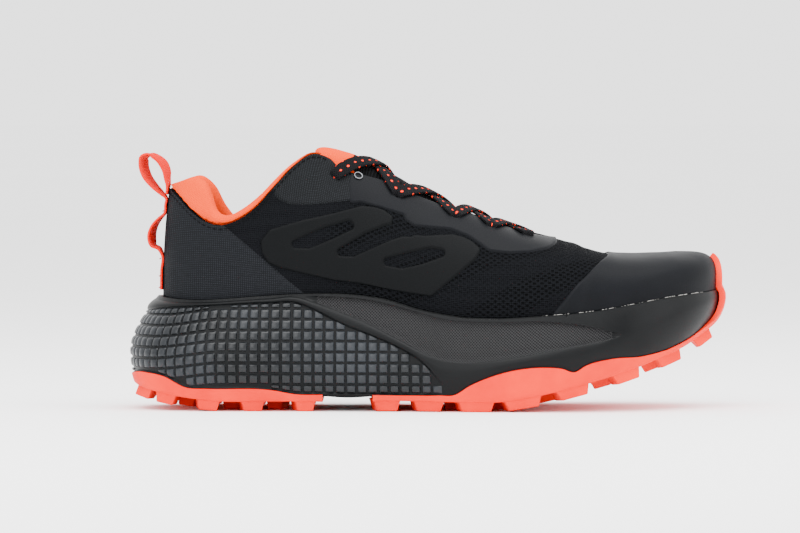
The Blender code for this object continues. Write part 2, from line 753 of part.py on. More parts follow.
def lug_block(name, table, tools):
    """All lugs of one rubber piece in one mesh, on both sides: prisms that narrow to their tips."""
    vertices, faces = [], []
    scale = np.array([SHOE_LENGTH, SHOE_LENGTH, RIM_WIDTH, RIM_WIDTH, SHOE_LENGTH])
    for centre, length, start, width, sweep in table * scale:
        outline = ((-length / 2, 0), (length / 2, 0), (length / 2 + sweep, 1), (sweep - length / 2, 1))
        left, right = sole_face(centre, 0.0), sole_face(centre, 1.0)
        sole_width = np.linalg.norm(right - left)
        for side in (-1, 1):
            base = len(vertices)
            for depth in (LUG_ROOT, -LUG_HEIGHT):
                taper = 1 if depth > 0 else LUG_TAPER
                for ahead, inwards in outline:
                    ahead = centre + (ahead - sweep * inwards) * taper + sweep * inwards
                    narrow = 1 if depth > 0 else 0.84
                    across = (start + width * (0.5 + (inwards - 0.5) * narrow)) / sole_width
                    across = across if side < 0 else 1 - across
                    point = sole_face(ahead, across)
                    slope = sole_face(ahead + 0.002, across) - sole_face(ahead - 0.002, across)
                    lift = np.array([-slope[2], 0, slope[0]])
                    point = point + lift / np.linalg.norm(lift) * depth
                    point[2] = max(point[2], 0.0)
                    vertices.append(point)
            top = [base, base + 1, base + 2, base + 3]
            tip = [base + 4, base + 5, base + 6, base + 7]
            sides = [[top[i], tip[i], tip[(i + 1) % 4], top[(i + 1) % 4]] for i in range(4)]
            block = [top, tip[::-1]] + sides
            faces += [f if side > 0 else f[::-1] for f in block]
    lugs = new_object(name, vertices, faces, None, tools)
    work = bmesh.new()
    work.from_mesh(lugs.data)
    bmesh.ops.recalc_face_normals(work, faces=work.faces)
    work.to_mesh(lugs.data)
    work.free()
    return lugs


def upper(parts, punch):
    """Upper: one wall from the footbed up to the collar and the throat, closed over the toes."""
    u = main_stations()
    sides = []
    for side in (-1, 1):
        inset = upper_inset(u)
        rows = [inner_point(u, side, inset + cup_draft(u), bed_height(u) + GAP)]
        top = edge_q(u, side)
        for share in UPPER_ROWS:
            rows.append(shell_point(u, side, top * share, 0))
        sides.append(np.array(rows))
    grid = ring(*sides)
    rows, columns = grid.shape[:2]
    shell = new_object("upper", grid.reshape(-1, 3), grid_faces(rows, columns, True), MESH_BLACK, parts, 2e-5)
    solidify(shell, UPPER_WALL, False)
    boolean(shell, punch, "DIFFERENCE")
    return shell


def eyelet_spots():
    """(u, side, q) of each eyelet, from the front to the back on each side."""
    return {
        side: [(float(u_of(s)), side, q_below_edge(float(u_of(s)), side, EYELET_INSET)) for s in EYELETS]
        for side in (-1, 1)
    }


def eyelet_punch(tools):
    """Round punches through the upper and the eyestay, square to the surface at each eyelet."""
    spots = [spot for side in (-1, 1) for spot in eyelet_spots()[side]]
    for side in (-1, 1):
        u = float(u_of(SPARE_EYELET))
        spots.append((u, side, q_below_edge(u, side, SPARE_EYELET_DROP)))
    work = bmesh.new()
    for u, side, q in spots:
        u, side, q = np.array(u), np.array(float(side)), np.array(q)
        centre = shell_point(u, side, q, 0)
        normal = arch_normal(u, side, q)
        turn = turn_to(normal)
        turn.translation = centre
        bmesh.ops.create_cone(
            work, cap_ends=True, segments=SEGMENTS, radius1=EYELET_RADIUS,
            radius2=EYELET_RADIUS, depth=PUNCH_LENGTH, matrix=turn,
        )
    mesh = bpy.data.meshes.new("eyelet_punch")
    work.to_mesh(mesh)
    work.free()
    punch = bpy.data.objects.new("eyelet_punch", mesh)
    tools.objects.link(punch)
    return punch


def turn_to(direction):
    """Matrix that turns +Z to a direction."""
    return Vector(direction).to_track_quat("Z", "Y").to_matrix().to_4x4()


def toe_cap(parts):
    """Toe cap: covers the toe from the rim to the ridge, with an edge that slants forward as it rises."""
    q = np.concatenate([[0.03], UPPER_ROWS[1:]])
    start = u_of(CAP_LOW + (CAP_TOP - CAP_LOW) * np.sin(q * np.pi / 2) ** 0.8)
    stations = main_stations()
    stations = stations[stations > start[0] - 0.02]
    spots = np.maximum(stations[None, :], start[:, None])
    height = np.broadcast_to(q[:, None], spots.shape)
    lateral, medial = [shell_point(spots, np.full(spots.shape, side), height, GAP) for side in (-1.0, 1.0)]
    sheet = np.concatenate([lateral, medial[:, -2::-1]], axis=1)
    rows, count = sheet.shape[:2]
    cap = new_object("toe_cap", sheet.reshape(-1, 3), grid_faces(rows, count, False), FILM_GREY, parts, 2e-5)
    solidify(cap, OVERLAY, True)
    return cap


def band_between(name, inner, outer, rows, spec, parts, punch=None):
    """Film band on the upper between two lines, each a list of (share of length, side, q)."""
    columns = []
    for (s0, side, q0), (s1, _, q1) in zip(inner, outer):
        k = np.linspace(0, 1, rows)
        u = u_of(s0) + (u_of(s1) - u_of(s0)) * k
        columns.append(shell_point(u, np.full(rows, float(side)), q0 + (q1 - q0) * k, 1.5 * GAP))
    grid = np.array(columns).transpose(1, 0, 2)
    count = grid.shape[1]
    faces = grid_faces(rows, count, False, 0, True)
    sheet = new_object(name, grid.reshape(-1, 3), faces, spec, parts, 2e-5)
    solidify(sheet, OVERLAY, True)
    if punch:
        boolean(sheet, punch, "DIFFERENCE")
    return sheet


def eyestay(parts, punch):
    """Eyestay: a film band along both edges of the throat, closed round its front."""
    inner, outer = [], []
    for share in np.linspace(0.284, 0.675, 12):
        top = float(edge_q(u_of(share), -1))
        inner.append((share, -1, top - 0.010))
        outer.append((share, -1, q_below_edge(float(u_of(share)), -1, EYESTAY_WIDTH)))
    for back, front, low in ((0.696, 0.705, 0.70), (0.707, 0.731, 0.79), (0.714, 0.748, 0.89)):
        inner.append((back, -1, float(edge_q(u_of(back), -1)) - 0.010))
        outer.append((front, -1, low))
    inner.append((0.722, -1, 1.0))
    outer.append((0.756, -1, 1.0))
    far_inner = [(s, 1, q) for s, _, q in inner[-2::-1]]
    far_outer = [(s, 1, q) for s, _, q in outer[-2::-1]]
    return band_between("eyestay", inner + far_inner, outer + far_outer, 4, FILM_GREY, parts, punch)


def support_panel(name, side, parts):
    """Vented film panel on the quarter: slanting bars between an upper and a lower rail."""
    rows, columns = 6, 15
    k = np.linspace(0, 1, columns)
    q = np.linspace(0, 1, rows)[:, None]
    share = PANEL_SPAN[0] + (PANEL_SPAN[1] - PANEL_SPAN[0]) * k + PANEL_SLANT * q
    low = 0.20 - 0.08 * np.sin(np.pi * k) + 0.02 * k
    top = 0.42 + 0.07 * np.sin(np.pi * k)
    height = low + (top - low) * q
    spots = u_of(share)
    grid = shell_point(spots, np.full(spots.shape, float(side)), height, GAP)
    faces = []
    for j in range(rows - 1):
        for i in range(columns - 1):
            if 0 < j < rows - 2 and i % 3 != 0 and 0 < i < columns - 2:
                continue
            a = j * columns + i
            face = (a, a + 1, a + columns + 1, a + columns)
            faces.append(face if side < 0 else face[::-1])
    sheet = new_object(name, grid.reshape(-1, 3), faces, FILM_GREY, parts)
    solidify(sheet, OVERLAY, True)
    return sheet


def heel_counter(parts):
    """Counter: a film over the heel, from the rim up to the collar, that slants forward as it falls."""
    level = np.concatenate([[0.04], UPPER_ROWS[1:-1], [0.985]])
    reach = u_of(COUNTER_LOW + (COUNTER_TOP - COUNTER_LOW) * level)
    stations = main_stations()
    stations = stations[stations < reach[0] + 0.02]
    spots = np.minimum(stations[None, :], reach[:, None])
    halves = []
    for side in (-1.0, 1.0):
        sides = np.full(spots.shape, side)
        halves.append(shell_point(spots, sides, edge_q(spots, side) * level[:, None], GAP))
    grid = np.concatenate([halves[0][:, ::-1], halves[1][:, 1:]], axis=1)
    rows, count = grid.shape[:2]
    faces = grid_faces(rows, count, False, 0, True)
    sheet = new_object("heel_counter", grid.reshape(-1, 3), faces, FILM_GREY, parts, 2e-5)
    solidify(sheet, OVERLAY, True)
    return sheet


def collar_point(u, side, out, rise):
    """Point in the section of the collar: out from the upper's outer face, rise from its top edge."""
    edge = float(edge_q(np.array(u), side))
    if rise < 0:
        q = q_below_edge(u, side, -rise)
        return shell_point(np.array(u), np.array(float(side)), np.array(q), out)
    here = shell_point(np.array(u), np.array(float(side)), np.array(edge), out)
    below = shell_point(np.array(u), np.array(float(side)), np.array(edge - 0.02), out)
    up = (here - below) / np.linalg.norm(here - below)
    return here + up * rise


def collar(parts):
    """Padded collar: foam in lining inside the upper that rolls over its top edge."""
    main = main_stations()
    stations = np.append(main[main < u_of(COLLAR_END) - 0.01], u_of(COLLAR_END))
    rings = []
    for side in (-1, 1):
        run = []
        for u in stations:
            fade = float(ramp(COLLAR_END, COLLAR_END - 0.09, share_of(u)))
            foam = COLLAR_FRONT_FOAM + (COLLAR_FOAM - COLLAR_FRONT_FOAM) * fade
            crest = COLLAR_CREST * (0.35 + 0.65 * fade)
            back = -UPPER_WALL - 2.8 * GAP
            section = (
                (back, -COLLAR_DEPTH), (back, -COLLAR_DEPTH / 2), (back, -0.001),
                (back, 3 * GAP), (-0.0004, 3 * GAP), (-0.0004, crest * 0.6),
                (back * 0.9, crest * 0.95), (back - foam * 0.5, crest), (back - foam * 0.92, crest * 0.5),
                (back - foam, -0.003), (back - foam * 0.85, -COLLAR_DEPTH * 0.45),
                (back - foam * 0.30, -COLLAR_DEPTH),
            )
            run.append([collar_point(float(u), side, out, rise) for out, rise in section])
        rings.append(run)
    grid = np.array(rings[0][::-1] + rings[1][1:])
    rows, columns = grid.shape[:2]
    faces = tube_faces(rows, columns, False)
    return new_object("collar", grid.reshape(-1, 3), faces, LINING_ORANGE, parts)


def tongue(parts):
    """Tongue: a padded tab under the throat whose top stands free above the collar's front."""
    rows = 15
    half = 5
    u = np.linspace(u_of(TONGUE_CROWN[0, 0]), u_of(TONGUE_END), rows)
    outer, inner = [], []
    for side in (-1, 1):
        for k in range(half):
            away = 1 - k / (half - 1)
            q = 1 - (1 - along(TONGUE_CROWN, 2, u)) * away
            spots = u + 0.060 * away**3 * ramp(0.38, 0.20, share_of(u))
            edge = edge_q(spots, side)
            hidden = 1 - ramp(edge, edge + 0.6 * (1.001 - edge), q)
            hidden = np.maximum(hidden, ramp(0.635, 0.675, share_of(spots)))
            depth = TONGUE_CLEAR + (UPPER_WALL + 2 * GAP - TONGUE_CLEAR) * hidden
            depth = depth + TONGUE_TUCK * away**2 * ramp(0.34, 0.26, share_of(spots))
            depth = depth + 2 * GAP * ramp(0.60, 0.67, share_of(spots))
            thick = TONGUE_THICKNESS * (1 - 0.45 * away**2) * (1 - 0.5 * ramp(0.60, 0.71, share_of(spots)))
            crown = along(TONGUE_CROWN, 1, spots)
            sides = np.full(rows, float(side))
            outer.append(shell_point(spots, sides, q, -depth, crown))
            inner.append(shell_point(spots, sides, q, -depth - thick, crown))
    outer = np.array(outer[:half] + outer[half:][::-1][1:])
    inner = np.array(inner[:half] + inner[half:][::-1][1:])
    vertices, faces = thick_sheet(outer, inner)
    return new_object("tongue", vertices, faces, MESH_BLACK, parts)


def insole(parts):
    """Insole: a loose footbed that fills the dish inside the upper."""
    u = main_stations()
    rows = []
    for height, extra in ((0.0, 0.0), (INSOLE_THICKNESS * 0.7, 0.0), (INSOLE_THICKNESS, 0.0012)):
        base = bed_height(u) + 1.5 * GAP + height
        wall = upper_inset(u) + cup_draft(u) + UPPER_WALL * 1.12 + 2 * GAP + extra
        rows.append([inner_point(u, side, wall, base) for side in (-1, 1)])
    grid = np.array([ring(np.array([a]), np.array([b]))[0] for a, b in rows])
    count = grid.shape[1]
    faces = grid_faces(3, count, True)
    faces += ladder(count, 0, False)
    faces += ladder(count, 2 * count, True)
    return new_object("insole", grid.reshape(-1, 3), faces, FOOTBED_BLACK, parts)


def heel_back(height):
    """How far forward the upper's back seam lies at a height."""
    q = q_at_height(np.array(0.0), height)
    return float(arch_point(np.array(0.0), np.array(-1.0), q)[0])


def pull_loop(parts):
    """Webbing that runs up the back seam, stands off it in a low loop and ends in a high loop."""
    seat = 3 * GAP + OVERLAY + WEBBING_THICKNESS / 2
    path = [(heel_back(z) - seat, z, 0.0) for z in np.array(LOOP_SEATS[0]) * INSTEP_HEIGHT]
    path += [(x * INSTEP_HEIGHT, z * INSTEP_HEIGHT, t) for x, z, t in LOOP_LOW]
    path += [(heel_back(z) - seat, z, 0.0) for z in np.array(LOOP_SEATS[1]) * INSTEP_HEIGHT]
    path += [(x * INSTEP_HEIGHT, z * INSTEP_HEIGHT, t) for x, z, t in LOOP_HIGH]
    centre = np.array([(x, 0.0, z) for x, z, _ in path])
    twist = np.array([t for _, _, t in path]) * LOOP_TWIST
    ahead = np.gradient(centre, axis=0)
    ahead /= np.linalg.norm(ahead, axis=1)[:, None]
    across = np.stack([np.sin(twist), np.cos(twist), 0 * twist], axis=1)
    out = np.cross(ahead, across)
    out /= np.linalg.norm(out, axis=1)[:, None]
    rings = []
    for a, b in ((-1, -1), (1, -1), (1, 1), (-1, 1)):
        rings.append(centre + across * a * WEBBING_WIDTH / 2 + out * b * WEBBING_THICKNESS / 2)
    grid = np.array(rings).transpose(1, 0, 2)
    rows, columns = grid.shape[:2]
    faces = tube_faces(rows, columns, False)
    return new_object("pull_loop", grid.reshape(-1, 3), faces, WEBBING_RED, parts)


def lace_ribbon(name, start, end, lift, collection):
    """Flat lace over the throat from one side's eyelet to the other's.

    start and end are (u, side, q), and lift raises the middle of the run.
    """
    rows = 9
    k = np.linspace(0, 1, rows)
    u = start[0] + (end[0] - start[0]) * k
    side = np.where(k < 0.5, start[1], end[1]).astype(float)
    q = np.where(k < 0.5, start[2] + (1 - start[2]) * 2 * k, 1 + (end[2] - 1) * (2 * k - 1))
    rise = 3 * GAP + OVERLAY + LACE_THICKNESS / 2 + lift * np.sin(np.pi * k) ** 4
    centre = shell_point(u, side, q, rise)
    ahead = np.gradient(centre, axis=0)
    ahead /= np.linalg.norm(ahead, axis=1)[:, None]
    up = shell_point(u, side, q, rise + 0.001) - centre
    across = np.cross(up, ahead)
    across /= np.linalg.norm(across, axis=1)[:, None]
    up = np.cross(ahead, across)
    rings = []
    for a, b in ((-1, -1), (1, -1), (1, 1), (-1, 1)):
        rings.append(centre + across * a * LACE_WIDTH / 2 + up * b * LACE_THICKNESS / 2)
    grid = np.array(rings).transpose(1, 0, 2)
    rows, columns = grid.shape[:2]
    faces = tube_faces(rows, columns, False)
    return new_object(name, grid.reshape(-1, 3), faces, LACE_BLACK, collection)


def laces(parts, tools):
    """Lace crossings, one solid for each pair of runs that cross, and a straight run at the front."""
    spots = eyelet_spots()

    def end_of(index, side, step):
        u, _, _ = spots[side][index]
        u = float(u) + step * (LACE_WIDTH / 2 + GAP) / (RIM_LENGTH * np.pi / 2 * np.sin(np.pi * u))
        return u, side, q_below_edge(u, side, EYELET_INSET - EYELET_RADIUS - 0.0012)

    lace_ribbon("lace_front", end_of(0, -1, 1.5), end_of(0, 1, 1.5), 0.0004, parts)
    for i in range(len(EYELETS) - 1):
        name = "lace_crossing_" + str(i + 1)
        low = lace_ribbon(name, end_of(i, -1, -1), end_of(i + 1, 1, 1), -0.0012, parts)
        over = lace_ribbon(name + "_over", end_of(i, 1, -1), end_of(i + 1, -1, 1), -0.0004, tools)
        boolean(low, over, "UNION")


def centre(parts, tools):
    """Moves everything so that the origin lies under the middle of the whole shoe."""
    points = np.array([v.co for item in parts.objects for v in item.data.vertices])
    middle = (points.min(axis=0) + points.max(axis=0)) / 2
    for item in list(parts.objects) + list(tools.objects):
        item.data.transform(Matrix.Translation((-middle[0], -middle[1], 0)))


def build():
    for item in list(bpy.data.objects):
        bpy.data.objects.remove(item)
    parts = bpy.data.collections.new("trail_running_shoe")
    tools = bpy.data.collections.new("cutters")
    bpy.context.scene.collection.children.link(parts)
    bpy.context.scene.collection.children.link(tools)
    punch = eyelet_punch(tools)
    midsole(parts)
    outsole("outsole_heel", HEEL_PIECE, HEEL_LUGS, parts, tools)
    outsole("outsole_forefoot", FORE_PIECE, FORE_LUGS, parts, tools)
    upper(parts, punch)
    insole(parts)
    toe_cap(parts)
    heel_counter(parts)
    eyestay(parts, punch)
    support_panel("support_panel_lateral", -1, parts)
    support_panel("support_panel_medial", 1, parts)
    collar(parts)
    tongue(parts)
    pull_loop(parts)
    laces(parts, tools)
    centre(parts, tools)
    for tool in tools.objects:
        tool.hide_render = True
        tool.display_type = "WIRE"


build()
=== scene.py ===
"""Dressed trail running shoe, right foot, standing empty on its sole.

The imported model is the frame. Every piece here is a surface worked out from the same last as the
solids: a plan outline, heights along the foot and an arch over the instep. u is 0 at the heel and
1 at the toe, side is -1 on the outer and 1 on the inner side, and q is 0 at the rim of the sole and
1 on the ridge of the upper. Lengths are metres. UV maps are in millimetres along the surface.
"""

import bmesh
import bpy
import numpy as np
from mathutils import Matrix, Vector


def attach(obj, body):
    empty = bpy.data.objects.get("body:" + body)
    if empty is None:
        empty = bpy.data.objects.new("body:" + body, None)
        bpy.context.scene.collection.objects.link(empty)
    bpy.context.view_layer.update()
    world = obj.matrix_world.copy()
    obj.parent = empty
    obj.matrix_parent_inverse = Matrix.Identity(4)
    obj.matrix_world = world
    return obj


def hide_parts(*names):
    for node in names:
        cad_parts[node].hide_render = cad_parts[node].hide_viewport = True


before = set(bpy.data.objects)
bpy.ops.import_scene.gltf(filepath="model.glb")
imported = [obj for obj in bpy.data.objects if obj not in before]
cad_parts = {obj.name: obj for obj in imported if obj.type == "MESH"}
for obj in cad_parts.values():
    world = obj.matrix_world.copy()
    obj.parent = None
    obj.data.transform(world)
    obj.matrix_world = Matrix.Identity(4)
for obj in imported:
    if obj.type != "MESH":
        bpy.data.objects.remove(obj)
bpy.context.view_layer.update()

# Where the last stands in the frame
SHIFT = np.array([-0.150928, 0.0014525, 0.0])

# Sizes of the last, its walls and its layers
SHOE_LENGTH = 0.302
RIM_WIDTH = 0.100
RIM_HEIGHT = 0.0586
INSTEP_HEIGHT = 0.128
HEEL_OVERHANG = 0.0145
TOE_RUBBER = 0.0046
RIM_LENGTH = SHOE_LENGTH - HEEL_OVERHANG - TOE_RUBBER
GAP = 0.0003
UPPER_WALL = 0.0020
INSOLE_THICKNESS = 0.0040
TONGUE_THICKNESS = 0.0042
RUBBER_INSET = 0.0016
RUBBER_PROUD = 0.0006
RUBBER_BEVEL = 0.0010
CUP_DRAFT = 0.0030
LUG_HEIGHT = 0.0050
LUG_ROOT = 0.0014
LUG_TAPER = 0.74
LUG_NARROW = 0.84
PANEL_DEPTH = 0.0016
RIB_PROUD = 0.0012
GROOVE_DEPTH = 0.0010
COLLAR_DEPTH = 0.034
COLLAR_FOAM = 0.0062
COLLAR_FRONT_FOAM = 0.0026
COLLAR_CREST = 0.0052
COLLAR_END = 0.262
EYELET_RADIUS = 0.0021
EYELET_INSET = 0.0070
LACE_WIDTH = 0.0062
LACE_THICKNESS = 0.0016
WEBBING_WIDTH = 0.012
WEBBING_THICKNESS = 0.0015
LOOP_TWIST = 0.34
THROAT_SHARE = 0.715
TONGUE_END = 0.705
RIDGE_BACK = 0.145
TONGUE_CLEAR = 0.0008
TONGUE_TUCK = 0.0035
EYELETS = (0.668, 0.594, 0.523, 0.411, 0.294)
SPARE_EYELET = 0.236
SPARE_EYELET_DROP = 0.0125
HEEL_PIECE = (0.0, 0.295)
FORE_PIECE = (0.385, 1.0)
# Squares of the grip field, laid out on the wall at BLOCK_LEVEL and drooping round the back
BLOCK_PITCH = 0.0054
BLOCK_GAP = 0.0008
BLOCK_FOOT = 0.0028
BLOCK_LEVEL = 0.028
BLOCK_DROOP = 0.0036
BLOCK_ROWS = range(-1, 10)
BLOCK_END = 0.512
# Bumper, films, laces and trim of the dressed shoe
BUMPER_GAP = 0.0009
FILM_SINK = 0.0006
FILM_WALL = 0.0004
LACE_RISE = 0.0019
LACE_DIVE = 0.0060
HEEL_CLOTH = 0.0008
RING_SHARE = 0.334
RING_RADIUS = 0.0020
RING_WIRE = 0.00032
TOPSTITCH_DROP = 0.0022
# Stitches: pitch, length, thickness
TOPSTITCH = (0.0031, 0.0022, 0.0005)
LOOP_TACK = (0.0013, 0.0011, 0.0006)
# Scale of the outlines in the side view: metres to a photo pixel, and the pixel of the last's zero
PIXEL = 0.000505
PIXEL_ZERO = (130, 410)
# The outer and the inner side, by name
SIDES = (("lateral", -1.0), ("medial", 1.0))
# Creases at the flex of the forefoot: share of length, width in shares, depth
FLEX_LINES = ((0.735, 0.012, 0.0006), (0.768, 0.011, 0.0007), (0.700, 0.013, 0.0004))

# Rim in plan: share of its length, lateral and medial half width as shares of RIM_WIDTH
PLAN = np.array([
    (0.00, 0.000, 0.000), (0.03, 0.220, 0.215), (0.08, 0.315, 0.305), (0.15, 0.358, 0.338),
    (0.25, 0.372, 0.332), (0.35, 0.388, 0.325), (0.45, 0.428, 0.340), (0.55, 0.475, 0.385),
    (0.65, 0.508, 0.440), (0.73, 0.512, 0.480), (0.80, 0.482, 0.498), (0.87, 0.408, 0.488),
    (0.93, 0.290, 0.438), (0.975, 0.125, 0.340), (1.00, -0.14, 0.14),
])
# Sole: share of length, then rim, footbed, underside and face of the rubber, shares of RIM_HEIGHT
SOLE_HEIGHTS = np.array([
    (0.00, 0.973, 0.700, 0.285, 0.235), (0.03, 0.950, 0.650, 0.207, 0.157),
    (0.08, 0.945, 0.620, 0.155, 0.104), (0.12, 0.955, 0.605, 0.135, 0.0835),
    (0.20, 0.985, 0.595, 0.135, 0.0835), (0.28, 1.002, 0.590, 0.135, 0.0835),
    (0.34, 0.998, 0.585, 0.118, 0.075), (0.40, 0.962, 0.570, 0.134, 0.0900),
    (0.47, 0.865, 0.540, 0.137, 0.0900), (0.54, 0.808, 0.515, 0.135, 0.0830),
    (0.60, 0.799, 0.495, 0.137, 0.0835), (0.67, 0.815, 0.490, 0.188, 0.135),
    (0.77, 0.857, 0.535, 0.305, 0.254), (0.85, 0.920, 0.610, 0.420, 0.367),
    (0.90, 0.965, 0.665, 0.508, 0.453), (0.95, 0.995, 0.740, 0.615, 0.555),
    (0.98, 1.008, 0.800, 0.722, 0.657), (1.00, 1.017, 0.880, 0.855, 0.800),
])
# Side wall: share of length, crest, foot, height of the crest, footed on HEEL_OVERHANG
SIDE_WALL = np.array([
    (0.00, 1.00, 0.88, 0.34), (0.05, 0.95, 0.78, 0.34), (0.10, 0.80, 0.60, 0.35),
    (0.16, 0.68, 0.42, 0.36), (0.25, 0.58, 0.36, 0.36), (0.35, 0.50, 0.32, 0.34),
    (0.45, 0.44, 0.28, 0.33), (0.55, 0.42, 0.27, 0.35), (0.65, 0.42, 0.24, 0.38),
    (0.75, 0.38, 0.14, 0.45), (0.85, 0.28, -0.04, 0.55), (0.93, 0.16, -0.10, 0.65),
    (1.00, 0.06, -0.06, 0.70),
])
# Lines on the side wall: share of length, top of the grip field, lower and upper edge of the panel
SIDE_LINES = np.array([
    (0.00, 0.850, 0.945, 0.955), (0.03, 0.880, 0.925, 0.935), (0.10, 0.900, 0.930, 0.940),
    (0.20, 0.925, 0.962, 0.970), (0.25, 0.925, 0.975, 0.985), (0.28, 0.870, 0.930, 0.985),
    (0.33, 0.755, 0.840, 0.975), (0.38, 0.660, 0.740, 0.950), (0.43, 0.555, 0.620, 0.895),
    (0.48, 0.400, 0.495, 0.825), (0.51, 0.240, 0.440, 0.790), (0.54, 0.150, 0.422, 0.775),
    (0.60, 0.160, 0.444, 0.765), (0.68, 0.210, 0.510, 0.775), (0.75, 0.330, 0.572, 0.745),
    (0.79, 0.400, 0.612, 0.700), (0.82, 0.440, 0.655, 0.665), (0.90, 0.560, 0.760, 0.770),
    (1.00, 0.900, 0.930, 0.940),
])
# Top edge of the rubber: share of length, height, climb from the rim to the ridge of the toe
RUBBER_EDGE = np.array([
    (0.00, 0.300, 0.000), (0.020, 0.325, 0.000), (0.045, 0.290, 0.000), (0.070, 0.205, 0.000),
    (0.10, 0.195, 0.000), (0.21, 0.180, 0.000), (0.245, 0.150, 0.000), (0.30, 0.145, 0.000),
    (0.38, 0.143, 0.000), (0.50, 0.143, 0.000), (0.53, 0.150, 0.000), (0.555, 0.225, 0.000),
    (0.59, 0.300, 0.000), (0.69, 0.385, 0.000), (0.715, 0.375, 0.000), (0.735, 0.345, 0.000),
    (0.755, 0.400, 0.000), (0.80, 0.455, 0.000), (0.85, 0.468, 0.000), (0.90, 0.515, 0.000),
    (0.95, 0.600, 0.000), (0.974, 0.665, 0.000), (0.989, 0.780, 0.000), (0.9930, 0.840, 0.000),
    (0.9957, 0.930, 0.000), (0.9972, 1.0155, 0.080), (0.9982, 1.0160, 0.400),
    (0.9991, 1.0165, 0.672), (1.00, 1.017, 0.863),
])
# Arch: share of length, ridge, lateral edge, medial edge as shares of INSTEP_HEIGHT, exponent
ARCH = np.array([
    (0.000, 1.2350, 0.8680, 0.8680, 2.20), (0.025, 1.2200, 0.8240, 0.8550, 2.20),
    (0.050, 1.2000, 0.7760, 0.8420, 2.20), (0.080, 1.1720, 0.7360, 0.8060, 2.20),
    (0.110, 1.1720, 0.7250, 0.7430, 2.20), (0.140, 1.1720, 0.7480, 0.6990, 2.20),
    (0.170, 1.1720, 0.7980, 0.7290, 2.20), (0.200, 1.1720, 0.8800, 0.8230, 2.20),
    (0.225, 1.1520, 0.9540, 0.9200, 2.10), (0.250, 1.1060, 1.0010, 0.9830, 2.10),
    (0.275, 1.0360, 0.9840, 0.9800, 2.10), (0.300, 1.0080, 0.9420, 0.9420, 2.10),
    (0.350, 0.9560, 0.9110, 0.9110, 2.10), (0.400, 0.9130, 0.8800, 0.8810, 2.10),
    (0.450, 0.8560, 0.8300, 0.8310, 2.10), (0.500, 0.8110, 0.7910, 0.7920, 2.10),
    (0.550, 0.7780, 0.7615, 0.7625, 2.15), (0.600, 0.7400, 0.7280, 0.7285, 2.20),
    (0.640, 0.7115, 0.7030, 0.7032, 2.25), (0.665, 0.6970, 0.6910, 0.6912, 2.30),
    (0.700, 0.6790, 0.6772, 0.6773, 2.40), (0.715, 0.6730, 0.6730, 0.6730, 2.43),
    (0.740, 0.6650, 0.6650, 0.6650, 2.50), (0.775, 0.6480, 0.6480, 0.6480, 2.60),
    (0.805, 0.6240, 0.6240, 0.6240, 2.70), (0.835, 0.6100, 0.6100, 0.6100, 2.80),
    (0.880, 0.6020, 0.6020, 0.6020, 3.00), (0.940, 0.6030, 0.6030, 0.6030, 3.60),
    (1.000, 0.6080, 0.6080, 0.6080, 4.50),
])
# Ridge line: share of length, sideways offset as a share of RIM_WIDTH, inset of the upper
RIDGE_LINE = np.array([
    (0.00, 0.000, 0.0030), (0.30, 0.010, 0.0032), (0.60, 0.020, 0.0030), (0.80, 0.060, 0.0026),
    (0.93, 0.110, 0.0018), (1.00, 0.140, 0.0013),
])
# Tongue: share of length, height of its crown, q of its side edge
TONGUE_CROWN = np.array([
    (0.215, 1.0360, 0.62), (0.250, 1.0310, 0.60), (0.282, 1.0160, 0.60), (0.300, 1.0060, 0.60),
    (0.350, 0.9560, 0.60), (0.400, 0.9130, 0.60), (0.450, 0.8560, 0.61), (0.500, 0.8110, 0.64),
    (0.550, 0.7780, 0.68), (0.600, 0.7400, 0.70), (0.640, 0.7115, 0.74), (0.665, 0.6970, 0.78),
    (0.700, 0.6790, 0.84), (0.715, 0.6730, 0.86), (0.740, 0.6650, 0.86),
])
# Pull loop: heights where it lies on the heel, then ahead, height and twist along its low and high bow.
# All but the twist are shares of INSTEP_HEIGHT
LOOP_SEATS = ((0.485, 0.540, 0.605), (0.768, 0.800, 0.826))
LOOP_LOW = (
    (0.116, 0.628, 0.3), (0.094, 0.640, 0.6), (0.086, 0.667, 0.8), (0.098, 0.719, 0.6),
    (0.118, 0.746, 0.3),
)
LOOP_HIGH = (
    (0.126, 0.846, 0.4), (0.096, 0.876, 0.8), (0.067, 0.915, 1.0), (0.054, 0.966, 1.0),
    (0.057, 0.987, 1.0), (0.077, 0.998, 1.0), (0.106, 0.987, 1.0), (0.131, 0.964, 1.0),
    (0.144, 0.936, 0.8), (0.148, 0.902, 0.5), (0.151, 0.880, 0.3),
)
# Lugs: centre, length (SHOE_LENGTH), distance from the edge, width (RIM_WIDTH), sweep (SHOE_LENGTH)
HEEL_LUGS = np.array([
    (0.027, 0.026, 0.006, 0.157, 0.008), (0.064, 0.036, 0.003, 0.169, 0.006),
    (0.136, 0.039, 0.003, 0.169, -0.006), (0.209, 0.040, 0.003, 0.169, -0.008),
    (0.296, 0.035, 0.003, 0.169, -0.010), (0.097, 0.032, 0.205, 0.121, 0.012),
    (0.172, 0.034, 0.211, 0.139, 0.012), (0.243, 0.030, 0.211, 0.139, 0.012),
])
FORE_LUGS = np.array([
    (0.431, 0.046, 0.003, 0.151, -0.008), (0.500, 0.052, 0.003, 0.157, -0.008),
    (0.578, 0.062, 0.003, 0.169, -0.010), (0.654, 0.064, 0.003, 0.181, -0.010),
    (0.736, 0.057, 0.003, 0.181, -0.010), (0.826, 0.048, 0.003, 0.169, -0.010),
    (0.898, 0.042, 0.003, 0.151, -0.008), (0.954, 0.030, 0.006, 0.121, -0.004),
    (0.540, 0.036, 0.230, 0.151, 0.014), (0.616, 0.040, 0.236, 0.169, 0.014),
    (0.694, 0.040, 0.242, 0.175, 0.014), (0.783, 0.036, 0.236, 0.175, 0.014),
    (0.866, 0.032, 0.211, 0.157, 0.012),
])


